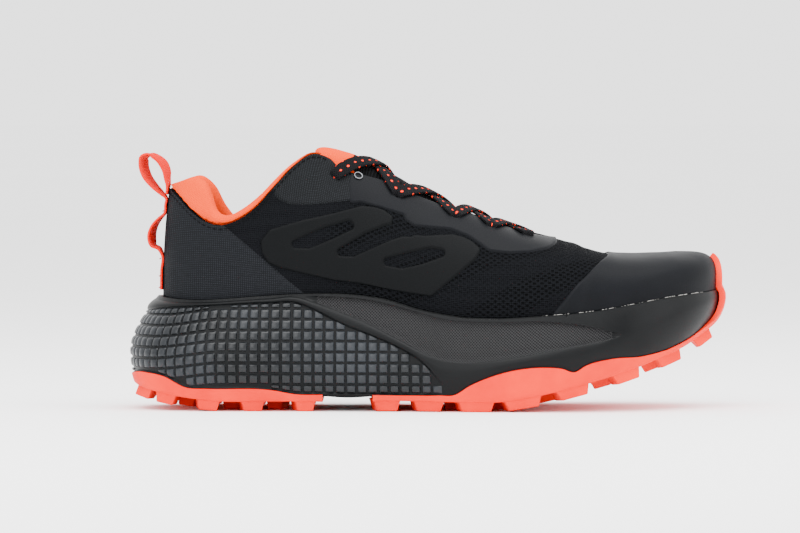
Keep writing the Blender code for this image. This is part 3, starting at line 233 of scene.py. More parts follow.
def share_of(u):
    """Share of the rim's length at u, a half cosine wave."""
    return (1 - np.cos(np.pi * u)) / 2


def u_of(share):
    """The u at a share of the rim's length."""
    return np.arccos(1 - 2 * np.asarray(share, float)) / np.pi


def folded(u):
    """u carried back into 0 to 1, for points just past the heel or the toe."""
    return np.where(u < 0, -u, np.where(u > 1, 2 - u, u))


def hermite(keys, values, slopes, at):
    """Cubic Hermite curve through values at keys, read at places."""
    i = np.clip(np.searchsorted(keys, at, side="right") - 1, 0, len(keys) - 2)
    width = keys[i + 1] - keys[i]
    t = (at - keys[i]) / width
    if values.ndim > 1:
        width, t = width[:, None], t[:, None]
    return (
        (1 + 2 * t) * (1 - t) ** 2 * values[i]
        + t * (1 - t) ** 2 * width * slopes[i]
        + t**2 * (3 - 2 * t) * values[i + 1]
        + t**2 * (t - 1) * width * slopes[i + 1]
    )


def along(table, column, u, flat=True):
    """Smooth curve through one column of a table, its slopes from the neighbouring rows."""
    keys = u_of(table[:, 0])
    values = table[:, column]
    slopes = np.gradient(values, keys)
    if flat:
        slopes[[0, -1]] = 0
    return hermite(keys, values, slopes, np.clip(folded(np.asarray(u, float)), keys[0], keys[-1]))


def spline(keys, values, at):
    """Smooth curve through values at keys, its slopes from the neighbours, read at places."""
    return hermite(keys, values, np.gradient(values, keys, axis=0), at)


def ramp(low, high, value):
    """Smooth step from 0 at low to 1 at high, 3 t squared less 2 t cubed."""
    t = np.clip((value - low) / (high - low), 0, 1)
    return t * t * (3 - 2 * t)


def plan(u, side):
    """Point of the rim in plan."""
    u = np.asarray(u, float)
    turned = np.where((u < 0) | (u > 1), -side, side)
    y = np.where(turned < 0, -along(PLAN, 1, u, False), along(PLAN, 2, u, False))
    return HEEL_OVERHANG + RIM_LENGTH * share_of(folded(u)), y * RIM_WIDTH


def plan_normal(u, side):
    """Outward direction of the rim in plan, square to its chord."""
    step = 1e-3
    x0, y0 = plan(u - step, side)
    x1, y1 = plan(u + step, side)
    size = np.hypot(x1 - x0, y1 - y0)
    return side * -(y1 - y0) / size, side * (x1 - x0) / size


def rim_height(u):
    """Height of the midsole's rim."""
    return RIM_HEIGHT * along(SOLE_HEIGHTS, 1, u)


def bed_height(u):
    """Height of the footbed."""
    return RIM_HEIGHT * along(SOLE_HEIGHTS, 2, u)


def foam_underside(u):
    """Height of the foam's underside."""
    return RIM_HEIGHT * along(SOLE_HEIGHTS, 3, u, False)


def rubber_face(u):
    """Height of the rubber's face between the lugs."""
    return RIM_HEIGHT * along(SOLE_HEIGHTS, 4, u, False)


def rubber_edge(u):
    """Height of the rubber's top edge, which climbs over the rim at the toe."""
    climb = INSTEP_HEIGHT * along(ARCH, 1, u) - rim_height(u)
    return RIM_HEIGHT * along(RUBBER_EDGE, 1, u) + climb * along(RUBBER_EDGE, 2, u)


def upper_inset(u):
    """How far the upper stands inside the rim."""
    return along(RIDGE_LINE, 2, u)


def toe_share(u):
    """1 at the toe tip, where the rubber turns up into a bumper, and 0 elsewhere."""
    return ramp(0.86, 0.97, u)


def rubber_inset(u):
    """Depth of the rubber's seat in the foam."""
    return RUBBER_INSET * (1 - toe_share(u))


def rubber_proud(u):
    """How far the rubber stands out of the foam."""
    return RUBBER_PROUD * (1 - toe_share(u)) + TOE_RUBBER * 0.78 * toe_share(u)


def cup_draft(u):
    """How far the wall of the dish leans in from the rim down to the footbed."""
    return CUP_DRAFT * (1 - 0.6 * toe_share(u))


def side_point(u, side, height, outset):
    """Point on the sole's side wall: it swells from its foot to a crest and draws in to the rim."""
    low = foam_underside(u)
    t = np.minimum((height - low) / (rim_height(u) - low), 1)
    crest = HEEL_OVERHANG * along(SIDE_WALL, 1, u)
    foot = HEEL_OVERHANG * along(SIDE_WALL, 2, u)
    crest_at = along(SIDE_WALL, 3, u)
    below = np.maximum(1 - t / crest_at, 0)
    above = np.maximum(t - crest_at, 0) / (1 - crest_at)
    swell = crest - (crest - foot) * below**2.2 - crest * above**1.6
    x, y = plan(u, side)
    nx, ny = plan_normal(u, side)
    reach = swell + outset
    return np.stack([x + nx * reach, y + ny * reach, height + 0 * x], axis=-1)


def inner_point(u, side, inset, height):
    """Point inside the rim at an inset from it."""
    x, y = plan(u, side)
    nx, ny = plan_normal(u, side)
    return np.stack([x - nx * inset, y - ny * inset, height + 0 * x], axis=-1)


def arch_point(u, side, q, crown=None):
    """Point on the arch that rises from the rim to the ridge, a super-ellipse."""
    foot = inner_point(u, side, upper_inset(u), rim_height(u))
    ridge_height = INSTEP_HEIGHT * (along(ARCH, 1, u) if crown is None else crown)
    exponent = 2 / along(ARCH, 4, u)
    share = share_of(folded(u))
    ridge_x = SHOE_LENGTH * (RIDGE_BACK * (1 - share) + 0.911 * share)
    ridge_y = RIM_WIDTH * along(RIDGE_LINE, 1, u)
    angle = np.clip(q, 0, 1) * np.pi / 2
    rise = np.sin(angle) ** exponent
    lean = 1 - np.maximum(np.cos(angle), 0) ** exponent
    x = foot[..., 0] + (ridge_x - foot[..., 0]) * lean
    y = foot[..., 1] + (ridge_y - foot[..., 1]) * lean
    z = foot[..., 2] + (ridge_height - foot[..., 2]) * rise
    return np.stack([x, y, z], axis=-1)


def arch_normal(u, side, q, crown=None):
    """Outward direction of the arch, the cross product of its two tangents."""
    step = 2e-3
    low = np.clip(q - step, 0, 1)
    high = np.clip(q + step, 0, 1)
    up = arch_point(u, side, high, crown) - arch_point(u, side, low, crown)
    ahead = arch_point(u + step, side, q, crown) - arch_point(u - step, side, q, crown)
    return unit(np.cross(up, ahead) * np.asarray(side)[..., None])


def shell_point(u, side, q, offset, crown=None):
    """Point at an offset from the arch. Both sides agree on the ridge, so that they can meet."""
    u, side, q = np.broadcast_arrays(np.asarray(u, float), np.asarray(side, float), q)
    normal = arch_normal(u, side, q, crown)
    shared = unit(normal + arch_normal(u, -side, q, crown))
    near = ramp(0.95, 1.0, q)[..., None]
    normal = unit(normal * (1 - near) + shared * near)
    return arch_point(u, side, q, crown) + normal * np.asarray(offset)[..., None]


def q_at_height(u, height):
    """How far up the arch a height lies."""
    low = rim_height(u)
    share = np.clip((height - low) / (INSTEP_HEIGHT * along(ARCH, 1, u) - low), 0, 1)
    return np.arcsin(share ** (along(ARCH, 4, u) / 2)) * 2 / np.pi


def edge_q(u, side):
    """How far up the arch the collar or the throat edge lies, 1 where the arch is closed."""
    lateral = q_at_height(u, INSTEP_HEIGHT * along(ARCH, 2, u))
    medial = q_at_height(u, INSTEP_HEIGHT * along(ARCH, 3, u))
    edge = np.where(np.asarray(side) < 0, lateral, medial)
    return np.where(u >= u_of(THROAT_SHARE) - 1e-9, 1.0, edge)


def below_edge(u, side, drops, count=81):
    """How far up the arch points lie that are given lengths below the edge."""
    q = edge_q(np.array(u), side) * (1 - np.linspace(0, 1, count))
    return np.interp(drops, run_of(arch_point(np.full_like(q, u), np.full_like(q, side), q)), q)


def rubber_side(u, side, height, outset, rim_offset):
    """Point of the rubber's side: on the sole's wall to the rim, on the toe of the upper above it."""
    rim = rim_height(u)
    wall = side_point(u, side, np.minimum(height, rim), outset)
    toe = shell_point(u, side, q_at_height(u, np.maximum(height, rim)), rim_offset)
    return np.where((height > rim)[..., None], toe, wall)


def sole_face(ahead, across):
    """Points on the rubber's face between the lugs, ahead from the heel, across from the lateral edge."""
    u = np.linspace(0, 1, 161)
    ends = [side_point(u, side, rubber_face(u), rubber_proud(u) - RUBBER_BEVEL) for side in (-1, 1)]
    middle = np.maximum.accumulate((ends[0][:, 0] + ends[1][:, 0]) / 2 + u * 1e-5)
    left, right = [np.array([np.interp(ahead, middle, e[:, i]) for i in range(3)]) for e in ends]
    return (left + (right - left) * across).T


def unit(vectors):
    """Vectors brought to length 1."""
    return vectors / np.linalg.norm(vectors, axis=-1, keepdims=True)


def run_of(points, axis=0):
    """Length run from the first point to each point of a path, or of a grid along one axis."""
    steps = np.linalg.norm(np.diff(points, axis=axis), axis=-1)
    start = np.zeros_like(np.take(steps, [0], axis=axis))
    return np.concatenate([start, np.cumsum(steps, axis=axis)], axis=axis)


def wave(points, size, seed):
    """Soft seeded waves from -1 to 1 over points: six sine waves of random direction and phase."""
    draw = np.random.default_rng(seed)
    total = np.zeros(points.shape[:-1])
    for _ in range(6):
        direction = draw.normal(size=3)
        direction /= np.linalg.norm(direction) * size * draw.uniform(0.7, 1.5)
        total += np.sin(points @ direction * 2 * np.pi + draw.uniform(0, 6.28))
    return total / 4


def creases(u, side, q):
    """Depth of the soft creases in the upper: rows of troughs over the forefoot's flex line.

    Each trough is a bell-shaped dip across the shoe that fades to both ends, and broad waves of a
    quarter of a millimetre keep the fabric from looking machined.
    """
    share = share_of(u)
    flex = 0 * share
    for place, width, depth in FLEX_LINES:
        lean = place + 0.05 * (q - 0.5)
        dip = np.exp(-(((share - lean) / width) ** 2))
        flex = flex - depth * dip * np.sin(np.pi * np.clip(q, 0, 1)) ** 0.5
    broad = 0.00022 * wave(arch_point(u, side, q), 0.05, 3)
    return flex + broad * ramp(0.0, 0.15, q) * (1 - ramp(0.84, 0.9, share))


def grid_faces(rows, columns, ring=False, turned=False):
    """Quads of a grid of rows by columns, whose columns may close into a ring."""
    j, k = np.meshgrid(np.arange(rows - 1), np.arange(columns if ring else columns - 1), indexing="ij")
    n = (k + 1) % columns
    faces = np.stack([j * columns + k, j * columns + n, (j + 1) * columns + n, (j + 1) * columns + k], -1)
    faces = faces.reshape(-1, 4)
    return faces[:, ::-1] if turned else faces


def tube_faces(rows, columns):
    """Faces of a tube of rows by columns with its two ends closed."""
    ends = [list(range(columns))[::-1], [(rows - 1) * columns + i for i in range(columns)]]
    return grid_faces(rows, columns, True).tolist() + ends


def lid(columns, row):
    """Quads across a ring of points, from the lateral to the medial side."""
    k = np.arange(columns // 2)
    return np.stack([k, k + 1, (columns - k - 1) % columns, (columns - k) % columns], -1) + row * columns


def capped(rows, columns):
    """Faces of a grid of rings whose first and last ring are closed by lids."""
    lids = [lid(columns, 0)[:, ::-1], lid(columns, rows - 1)]
    return np.concatenate([grid_faces(rows, columns, True), *lids])


def end_cap(rows, columns, column):
    """Quads across one end of a closed band, each row joined to the one that lies opposite."""
    j = np.arange(rows // 2 - 1)
    cap = np.stack([j, j + 1, rows - 2 - j, rows - 1 - j], -1) * columns + column
    return cap if column == 0 else cap[:, ::-1]


def piece(name, points, faces, materials, uv=None, weld=0.0, nodes=(), marks=None,
          sharp=0.9, cells=None):
    """An object of the shoe from points, quads and a UV map, which rides on the shoe's one body.

    marks gives each face its material, cells each point its share of open mesh, and weld closes the
    seams between points that coincide. Edges past the angle sharp stay sharp.
    """
    mesh = bpy.data.meshes.new(name)
    mesh.from_pydata((np.asarray(points).reshape(-1, 3) + SHIFT).tolist(), [], [list(f) for f in faces])
    if uv is not None:
        index = np.zeros(len(mesh.loops), np.int32)
        mesh.loops.foreach_get("vertex_index", index)
        layer = mesh.uv_layers.new(name="weave")
        layer.data.foreach_set("uv", np.asarray(uv, np.float32).reshape(-1, 2)[index].ravel())
    for one in materials:
        mesh.materials.append(one)
    if marks is not None:
        mesh.polygons.foreach_set("material_index", np.asarray(marks, np.int32))
    if cells is not None:
        field = mesh.attributes.new("open_cells", "FLOAT", "POINT")
        field.data.foreach_set("value", cells.astype(np.float32))
    if weld:
        work = bmesh.new()
        work.from_mesh(mesh)
        bmesh.ops.remove_doubles(work, verts=work.verts, dist=weld)
        bmesh.ops.dissolve_degenerate(work, edges=work.edges, dist=weld)
        bmesh.ops.delete(work, geom=[v for v in work.verts if not v.link_faces], context="VERTS")
        work.to_mesh(mesh)
        work.free()
    mesh.shade_smooth()
    if sharp:
        mesh.set_sharp_from_angle(angle=sharp)
    item = bpy.data.objects.new(name, mesh)
    bpy.context.scene.collection.objects.link(item)
    if nodes:
        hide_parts(*nodes)
    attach(item, "root")
    return item


def wall(item, thickness):
    """Gives an open sheet its thickness, inwards."""
    added = item.modifiers.new("Wall", "SOLIDIFY")
    added.thickness = thickness
    added.offset = -1
    added.use_even_offset = False
    added.use_rim = True
    added.material_offset_rim = 0


# Materials


def linear(code):
    """Linear colour of an sRGB hex value."""
    value = np.array([int(code[i : i + 2], 16) for i in (1, 3, 5)]) / 255
    value = np.where(value <= 0.04045, value / 12.92, ((value + 0.055) / 1.055) ** 2.4)
    return (*[float(v) for v in value], 1.0)


def add(tree, kind, ins=(), out=0, **settings):
    """Adds a shader node and gives back one of its outputs. ins maps inputs to values or outputs."""
    node = tree.nodes.new("ShaderNode" + kind)
    for key, value in settings.items():
        setattr(node, key, value)
    for key, value in dict(ins).items():
        if isinstance(value, bpy.types.NodeSocket):
            tree.links.new(value, node.inputs[key])
        else:
            node.inputs[key].default_value = value
    return node.outputs[out]


def finish(name, rough, **constants):
    """A material and its node tree, with the constant values of its Principled shader set."""
    made = bpy.data.materials.new(name)
    made.use_nodes = True
    sockets = made.node_tree.nodes["Principled BSDF"].inputs
    for key, value in dict(constants, Roughness=rough).items():
        sockets[key.replace("_", " ")].default_value = value
    return made, made.node_tree


def dressed(made, **outputs):
    """Links outputs to the material's Principled shader, by the names of its sockets."""
    sockets = made.node_tree.nodes["Principled BSDF"].inputs
    for key, value in outputs.items():
        made.node_tree.links.new(value, sockets[key.replace("_", " ")])
    return made


def moulded_foam(name, dark, pale, rough, gloss):
    """Compression-moulded EVA foam: a satin skin with a fine pebble, paler where it is rubbed.

    The pebble is 0.7 mm, coarser than the real one so that it shows.
    """
    made, tree = finish(name, rough, IOR=1.5, Specular_IOR_Level=gloss)
    metres = add(tree, "TexCoord", out="Object")
    pebble = add(tree, "TexNoise", {"Vector": metres, "Scale": 1400.0, "Detail": 3.0})
    cloud = add(tree, "TexNoise", {"Vector": metres, "Scale": 34.0, "Detail": 4.0})
    rubbed = add(tree, "MapRange", {0: cloud, 1: 0.35, 2: 0.68})
    colour = add(tree, "Mix", {0: rubbed, 6: linear(dark), 7: linear(pale)}, 2, data_type="RGBA")
    matt = add(tree, "MapRange", {0: rubbed, 3: rough - 0.06, 4: rough + 0.10})
    bump = add(tree, "Bump", {"Height": pebble, "Distance": 0.00008, "Strength": 0.8})
    return dressed(made, Base_Color=colour, Roughness=matt, Normal=bump)


def netted_foam():
    """The inset panel of the same foam, moulded with a fine diagonal net of 1.1 mm: a painted highlight on
    its raised lines and painted shade in its cells.
    """
    made, tree = finish("net_textured_eva_foam", 0.62, IOR=1.5, Specular_IOR_Level=0.10)
    across = add(tree, "Mapping", {0: add(tree, "TexCoord", out="UV"), 2: (0, 0, 0.785)})
    lines = add(tree, "TexVoronoi", {"Vector": across, "Scale": 0.9, "Randomness": 0.0}, distance="CHEBYCHEV")
    net = add(tree, "MapRange", {0: lines, 1: 0.20, 2: 0.46}, interpolation_type="SMOOTHSTEP")
    # Painted light and shade: the net's raised lines are painted paler, its sunken cells darker
    colour = add(tree, "Mix", {0: net, 6: linear("#070708"), 7: linear("#2A2A2B")}, 2, data_type="RGBA")
    bump = add(tree, "Bump", {"Height": net, "Distance": 0.0003})
    return dressed(made, Base_Color=colour, Normal=bump)


def outsole_rubber():
    """Moulded rubber: dense, matt, with a faint bloom that lightens it in patches and dusty pits."""
    made, tree = finish("moulded_coral_rubber", 0.55, IOR=1.52, Specular_IOR_Level=0.06)
    metres = add(tree, "TexCoord", out="Object")
    cloud = add(tree, "TexNoise", {"Vector": metres, "Scale": 60.0, "Detail": 5.0})
    grit = add(tree, "TexNoise", {"Vector": metres, "Scale": 1800.0, "Detail": 2.0})
    bloom = add(tree, "MapRange", {0: cloud, 1: 0.35, 2: 0.7})
    colour = add(tree, "Mix", {0: bloom, 6: linear("#D81600"), 7: linear("#E82404")}, 2, data_type="RGBA")
    matt = add(tree, "MapRange", {0: cloud, 3: 0.46, 4: 0.66})
    bump = add(tree, "Bump", {"Height": grit, "Distance": 0.00006})
    return dressed(made, Base_Color=colour, Roughness=matt, Normal=bump)


def engineered_mesh():
    """Jacquard mesh of black polyester: knitted ribs, with staggered open cells on the forefoot.

    The yarn is drawn at 1 mm, about twice its real size. The cells are 3 mm long and 2 mm high.
    """
    made, tree = finish("jacquard_polyester_mesh", 0.9, IOR=1.5, Specular_IOR_Level=0.03)
    uv = add(tree, "TexCoord", out="UV")
    small = add(tree, "TexVoronoi", {"Vector": uv, "Scale": 1.0, "Randomness": 0.2})
    yarn = add(tree, "MapRange", {0: small, 1: 0.15, 2: 0.5}, interpolation_type="SMOOTHSTEP")
    ribs = add(tree, "TexWave", {"Vector": uv, "Scale": 0.36, "Distortion": 0.5, "Detail": 1.0}, 1,
               bands_direction="Y")
    lattice = add(tree, "Mapping", {0: add(tree, "Mapping", {0: uv, 3: (0.36, 0.52, 1)}), 2: (0, 0, 0.785)})
    spots = add(tree, "TexVoronoi", {"Vector": lattice, "Scale": 1.0, "Randomness": 0.12})
    zone = add(tree, "Attribute", out=2, attribute_name="open_cells")
    cell = add(tree, "MapRange", {0: spots, 1: 0.36, 2: 0.20, 3: 0.0, 4: 1.0},
               interpolation_type="SMOOTHSTEP")
    hole = add(tree, "Math", {0: cell, 1: zone}, operation="MULTIPLY")
    cloth = add(tree, "Mix", {0: yarn, 6: linear("#040405"), 7: linear("#0D0E10")}, 2, data_type="RGBA")
    raised = add(tree, "Math", {0: ribs, 1: 0.4}, operation="MULTIPLY")
    cloth = add(tree, "Mix", {0: raised, 6: cloth, 7: linear("#101114")}, 2, data_type="RGBA")
    # The open cells are painted near black: painted shade of the hollow behind the mesh
    shown = add(tree, "Math", {0: hole, 1: 0.85}, operation="MULTIPLY")
    colour = add(tree, "Mix", {0: shown, 6: cloth, 7: linear("#020202")}, 2, data_type="RGBA")
    thick = add(tree, "Math", {0: yarn, 1: ribs}, operation="ADD")
    woven = add(tree, "Bump", {"Height": thick, "Distance": 0.00014})
    sunk = add(tree, "Bump", {"Height": hole, "Distance": 0.0006, "Normal": woven}, invert=True)
    return dressed(made, Base_Color=colour, Normal=sunk)


def woven_nylon(name, dark, pale):
    """Plain-woven nylon cloth bonded to the upper: charcoal, with an uneven one-millimetre slub."""
    made, tree = finish(name, 0.8, IOR=1.5, Specular_IOR_Level=0.07)
    uv = add(tree, "TexCoord", out="UV")
    warp = add(tree, "TexWave", {"Vector": uv, "Scale": 0.30, "Distortion": 1.2, "Detail": 2.0}, 1)
    weft = add(tree, "TexWave", {"Vector": uv, "Scale": 0.34, "Distortion": 1.2, "Detail": 2.0}, 1,
               bands_direction="Y")
    weave = add(tree, "Math", {0: warp, 1: weft}, operation="MULTIPLY")
    stretched = add(tree, "Mapping", {0: uv, 3: (0.25, 1.2, 1)})
    slub = add(tree, "TexNoise", {"Vector": stretched, "Scale": 1.0, "Detail": 3.0})
    mixed = add(tree, "Math", {0: weave, 1: slub}, operation="MULTIPLY")
    fibre = add(tree, "MapRange", {0: mixed, 1: 0.0, 2: 0.5})
    colour = add(tree, "Mix", {0: fibre, 6: linear(dark), 7: linear(pale)}, 2, data_type="RGBA")
    bump = add(tree, "Bump", {"Height": mixed, "Distance": 0.0002})
    return dressed(made, Base_Color=colour, Normal=bump)


def bonded_film(name, dark, pale, rough):
    """Thermoplastic film, heat bonded: matt and dark, with the knit under it faintly showing."""
    made, tree = finish(name, rough, IOR=1.5, Specular_IOR_Level=0.05)
    uv = add(tree, "TexCoord", out="UV")
    under = add(tree, "TexVoronoi", {"Vector": uv, "Scale": 0.9, "Randomness": 0.2})
    metres = add(tree, "TexCoord", out="Object")
    cloud = add(tree, "TexNoise", {"Vector": metres, "Scale": 70.0, "Detail": 4.0})
    colour = add(tree, "Mix", {0: cloud, 6: linear(dark), 7: linear(pale)}, 2, data_type="RGBA")
    matt = add(tree, "MapRange", {0: cloud, 3: rough - 0.08, 4: rough + 0.1})
    bump = add(tree, "Bump", {"Height": under, "Distance": 0.00005})
    return dressed(made, Base_Color=colour, Roughness=matt, Normal=bump)


def collar_lining():
    """Brushed polyester lining over foam: soft orange nap that lightens at grazing angles."""
    made, tree = finish("brushed_orange_lining", 0.85, IOR=1.45, Sheen_Weight=0.02, Sheen_Roughness=0.5,
                        Sheen_Tint=linear("#FF9A5C"), Specular_IOR_Level=0.03)
    uv = add(tree, "TexCoord", out="UV")
    nap = add(tree, "TexNoise", {"Vector": uv, "Scale": 1.6, "Detail": 5.0})
    knit = add(tree, "TexVoronoi", {"Vector": uv, "Scale": 0.95, "Randomness": 0.15})
    fibre = add(tree, "Math", {0: nap, 1: knit}, operation="SUBTRACT")
    pile = add(tree, "MapRange", {0: fibre, 1: -0.25, 2: 0.5})
    colour = add(tree, "Mix", {0: pile, 6: linear("#CE2E00"), 7: linear("#E44600")}, 2, data_type="RGBA")
    bump = add(tree, "Bump", {"Height": fibre, "Distance": 0.0002})
    return dressed(made, Base_Color=colour, Normal=bump)


def tongue_cloth():
    """Ribbed polyester cloth: black, with cords of 1.8 mm across the tongue."""
    made, tree = finish("ribbed_polyester_cloth", 0.85, IOR=1.5, Specular_IOR_Level=0.05)
    uv = add(tree, "TexCoord", out="UV")
    cords = add(tree, "TexWave", {"Vector": uv, "Scale": 0.18, "Distortion": 0.4, "Detail": 1.0}, 1)
    knit = add(tree, "TexVoronoi", {"Vector": uv, "Scale": 1.3, "Randomness": 0.1})
    colour = add(tree, "Mix", {0: cords, 6: linear("#030303"), 7: linear("#0E0F11")}, 2, data_type="RGBA")
    thick = add(tree, "Math", {0: knit, 1: 0.4, 2: cords}, operation="MULTIPLY_ADD")
    bump = add(tree, "Bump", {"Height": thick, "Distance": 0.0004})
    return dressed(made, Base_Color=colour, Normal=bump)


def loop_webbing():
    """Woven polyester webbing: red coral, with fine ribs along its length."""
    made, tree = finish("woven_coral_webbing", 0.78, IOR=1.5, Specular_IOR_Level=0.04)
    uv = add(tree, "TexCoord", out="UV")
    ribs = add(tree, "TexWave", {"Vector": uv, "Scale": 0.28, "Distortion": 0.2}, 1, bands_direction="Y")
    picks = add(tree, "TexWave", {"Vector": uv, "Scale": 0.4, "Distortion": 0.2}, 1)
    weave = add(tree, "Math", {0: ribs, 1: picks}, operation="MULTIPLY")
    colour = add(tree, "Mix", {0: weave, 6: linear("#C00600"), 7: linear("#F01604")}, 2, data_type="RGBA")
    bump = add(tree, "Bump", {"Height": weave, "Distance": 0.00025})
    return dressed(made, Base_Color=colour, Normal=bump)


def lace_braid():
    """Flat braided polyester: black strands crossing at 45 degrees, with coral picks at both edges."""
    made, tree = finish("braided_polyester_lace", 0.8, IOR=1.5, Specular_IOR_Level=0.06)
    uv = add(tree, "TexCoord", out="UV")
    left, right = [
        add(tree, "TexWave", {"Vector": add(tree, "Mapping", {0: uv, 2: (0, 0, turn)}), "Scale": 0.32}, 1)
        for turn in (0.8, -0.8)
    ]
    braid = add(tree, "Math", {0: left, 1: right}, operation="MAXIMUM")
    picks = add(tree, "Mapping", {0: uv, 1: (0.5, 0, 0), 3: (0.19, 0.25, 1)})
    fleck = add(tree, "TexVoronoi", {"Vector": picks, "Scale": 1.0, "Randomness": 0.1})
    shown = add(tree, "Math", {0: fleck, 1: 0.165}, operation="LESS_THAN")
    colour = add(tree, "Mix", {0: braid, 6: linear("#030304"), 7: linear("#0E0E10")}, 2, data_type="RGBA")
    colour = add(tree, "Mix", {0: shown, 6: colour, 7: linear("#E02A0A")}, 2, data_type="RGBA")
    bump = add(tree, "Bump", {"Height": braid, "Distance": 0.0003})
    return dressed(made, Base_Color=colour, Normal=bump)


def footbed_cloth():
    """Brushed knit over the footbed: black, with small perforations every 6 mm."""
    made, tree = finish("footbed_knit_cloth", 0.9, IOR=1.45, Specular_IOR_Level=0.06)
    uv = add(tree, "TexCoord", out="UV")
    knit = add(tree, "TexVoronoi", {"Vector": uv, "Scale": 0.9, "Randomness": 0.1})
    turned = add(tree, "Mapping", {0: uv, 2: (0, 0, 0.785)})
    dots = add(tree, "TexVoronoi", {"Vector": turned, "Scale": 0.16, "Randomness": 0.0})
    hole = add(tree, "Math", {0: dots, 1: 0.13}, operation="LESS_THAN")
    base = add(tree, "Mix", {0: knit, 6: linear("#070708"), 7: linear("#111214")}, 2, data_type="RGBA")
    # The perforations are painted near black: painted shade in the holes
    colour = add(tree, "Mix", {0: hole, 6: base, 7: linear("#020203")}, 2, data_type="RGBA")
    height = add(tree, "Math", {0: knit, 1: hole}, operation="SUBTRACT")
    bump = add(tree, "Bump", {"Height": height, "Distance": 0.0003})
    return dressed(made, Base_Color=colour, Normal=bump)


def plain(name, dark, pale, rough, grain, depth, **constants):
    """A small hard or drawn finish: a colour that varies a little, with its own grain per metre."""
    made, tree = finish(name, rough, **constants)
    metres = add(tree, "TexCoord", out="Object")
    noise = add(tree, "TexNoise", {"Vector": metres, "Scale": grain, "Detail": 3.0})
    colour = add(tree, "Mix", {0: noise, 6: linear(dark), 7: linear(pale)}, 2, data_type="RGBA")
    bump = add(tree, "Bump", {"Height": noise, "Distance": depth})
    return dressed(made, Base_Color=colour, Normal=bump)


FOAM = moulded_foam("moulded_eva_foam", "#060708", "#0C0D0E", 0.40, 0.09)
# The blocks' foam is the midsole's foam painted paler overall: a painted highlight for the light the raised
# blocks catch, on top of the rubbed tone
BLOCK_FOAM = moulded_foam("block_foam_painted_highlight_and_wear", "#0E1012", "#1F2226", 0.30, 0.22)
NET = netted_foam()
RUBBER = outsole_rubber()
MESH = engineered_mesh()
COUNTER = woven_nylon("woven_nylon_heel_cloth", "#0A0B0D", "#202226")
QUARTER = woven_nylon("woven_nylon_quarter_cloth", "#0A0B0C", "#1E2023")
# Film of the toe and the eyestay, then the tonal film of the side, which is nearly as dark as the mesh
FILM = bonded_film("matt_tpu_film", "#08090B", "#0F1013", 0.48)
TONAL_FILM = bonded_film("tonal_tpu_film", "#050607", "#08090A", 0.54)
LINING = collar_lining()
TONGUE = tongue_cloth()
WEBBING = loop_webbing()
LACE = lace_braid()
FOOTBED = footbed_cloth()
# Nickel-plated brass: pale metal with a soft gloss and fine draw marks
RING = plain("nickel_plated_brass", "#505255", "#77797C", 0.34, 400.0, 0.00001, Metallic=1.0)
# Bonded nylon thread: hard-spun, a little glossy, in black and in red
THREAD = plain("black_bonded_nylon_thread", "#040405", "#0A0A0B", 0.75, 900.0, 0.00004,
               Specular_IOR_Level=0.04)
RED_THREAD = plain("red_bonded_nylon_thread", "#7C0C06", "#B0160C", 0.6, 900.0, 0.00004)
# Dried sole cement: a pale, slightly chalky bead
CEMENT = plain("dried_sole_cement", "#6E6C68", "#A9A7A2", 0.65, 700.0, 0.00005)


# Midsole and outsole


def stations(count, low=0.0, high=1.0):
    """Even steps of u."""
    return np.linspace(low, high, count)


def clustered(count):
    """Shares from 0 to 1 that lie closer at both ends."""
    return (1 - np.cos(np.pi * np.arange(1, count + 1) / count)) / 2


def ring(lateral, medial):
    """Rows on both sides joined into rings: lateral to the toe, medial back to the heel."""
    return np.concatenate([lateral, medial[:, -2:0:-1]], axis=1)


def sole_lines(u):
    """Lines of the side wall's relief from foot to rim, kept in order and a little apart."""
    low, rim = foam_underside(u), rim_height(u)
    lines = [low, np.clip(rubber_edge(u), low + 0.0003, rim - 0.004) + 0.0002]
    lines += [RIM_HEIGHT * along(SIDE_LINES, column, u) for column in (1, 2, 3)]
    lines.append(rim)
    for k in range(1, 5):
        lines[k] = np.maximum(lines[k], lines[k - 1] + GAP)
    for k in range(4, 0, -1):
        lines[k] = np.minimum(lines[k], lines[k + 1] - GAP)
    return lines


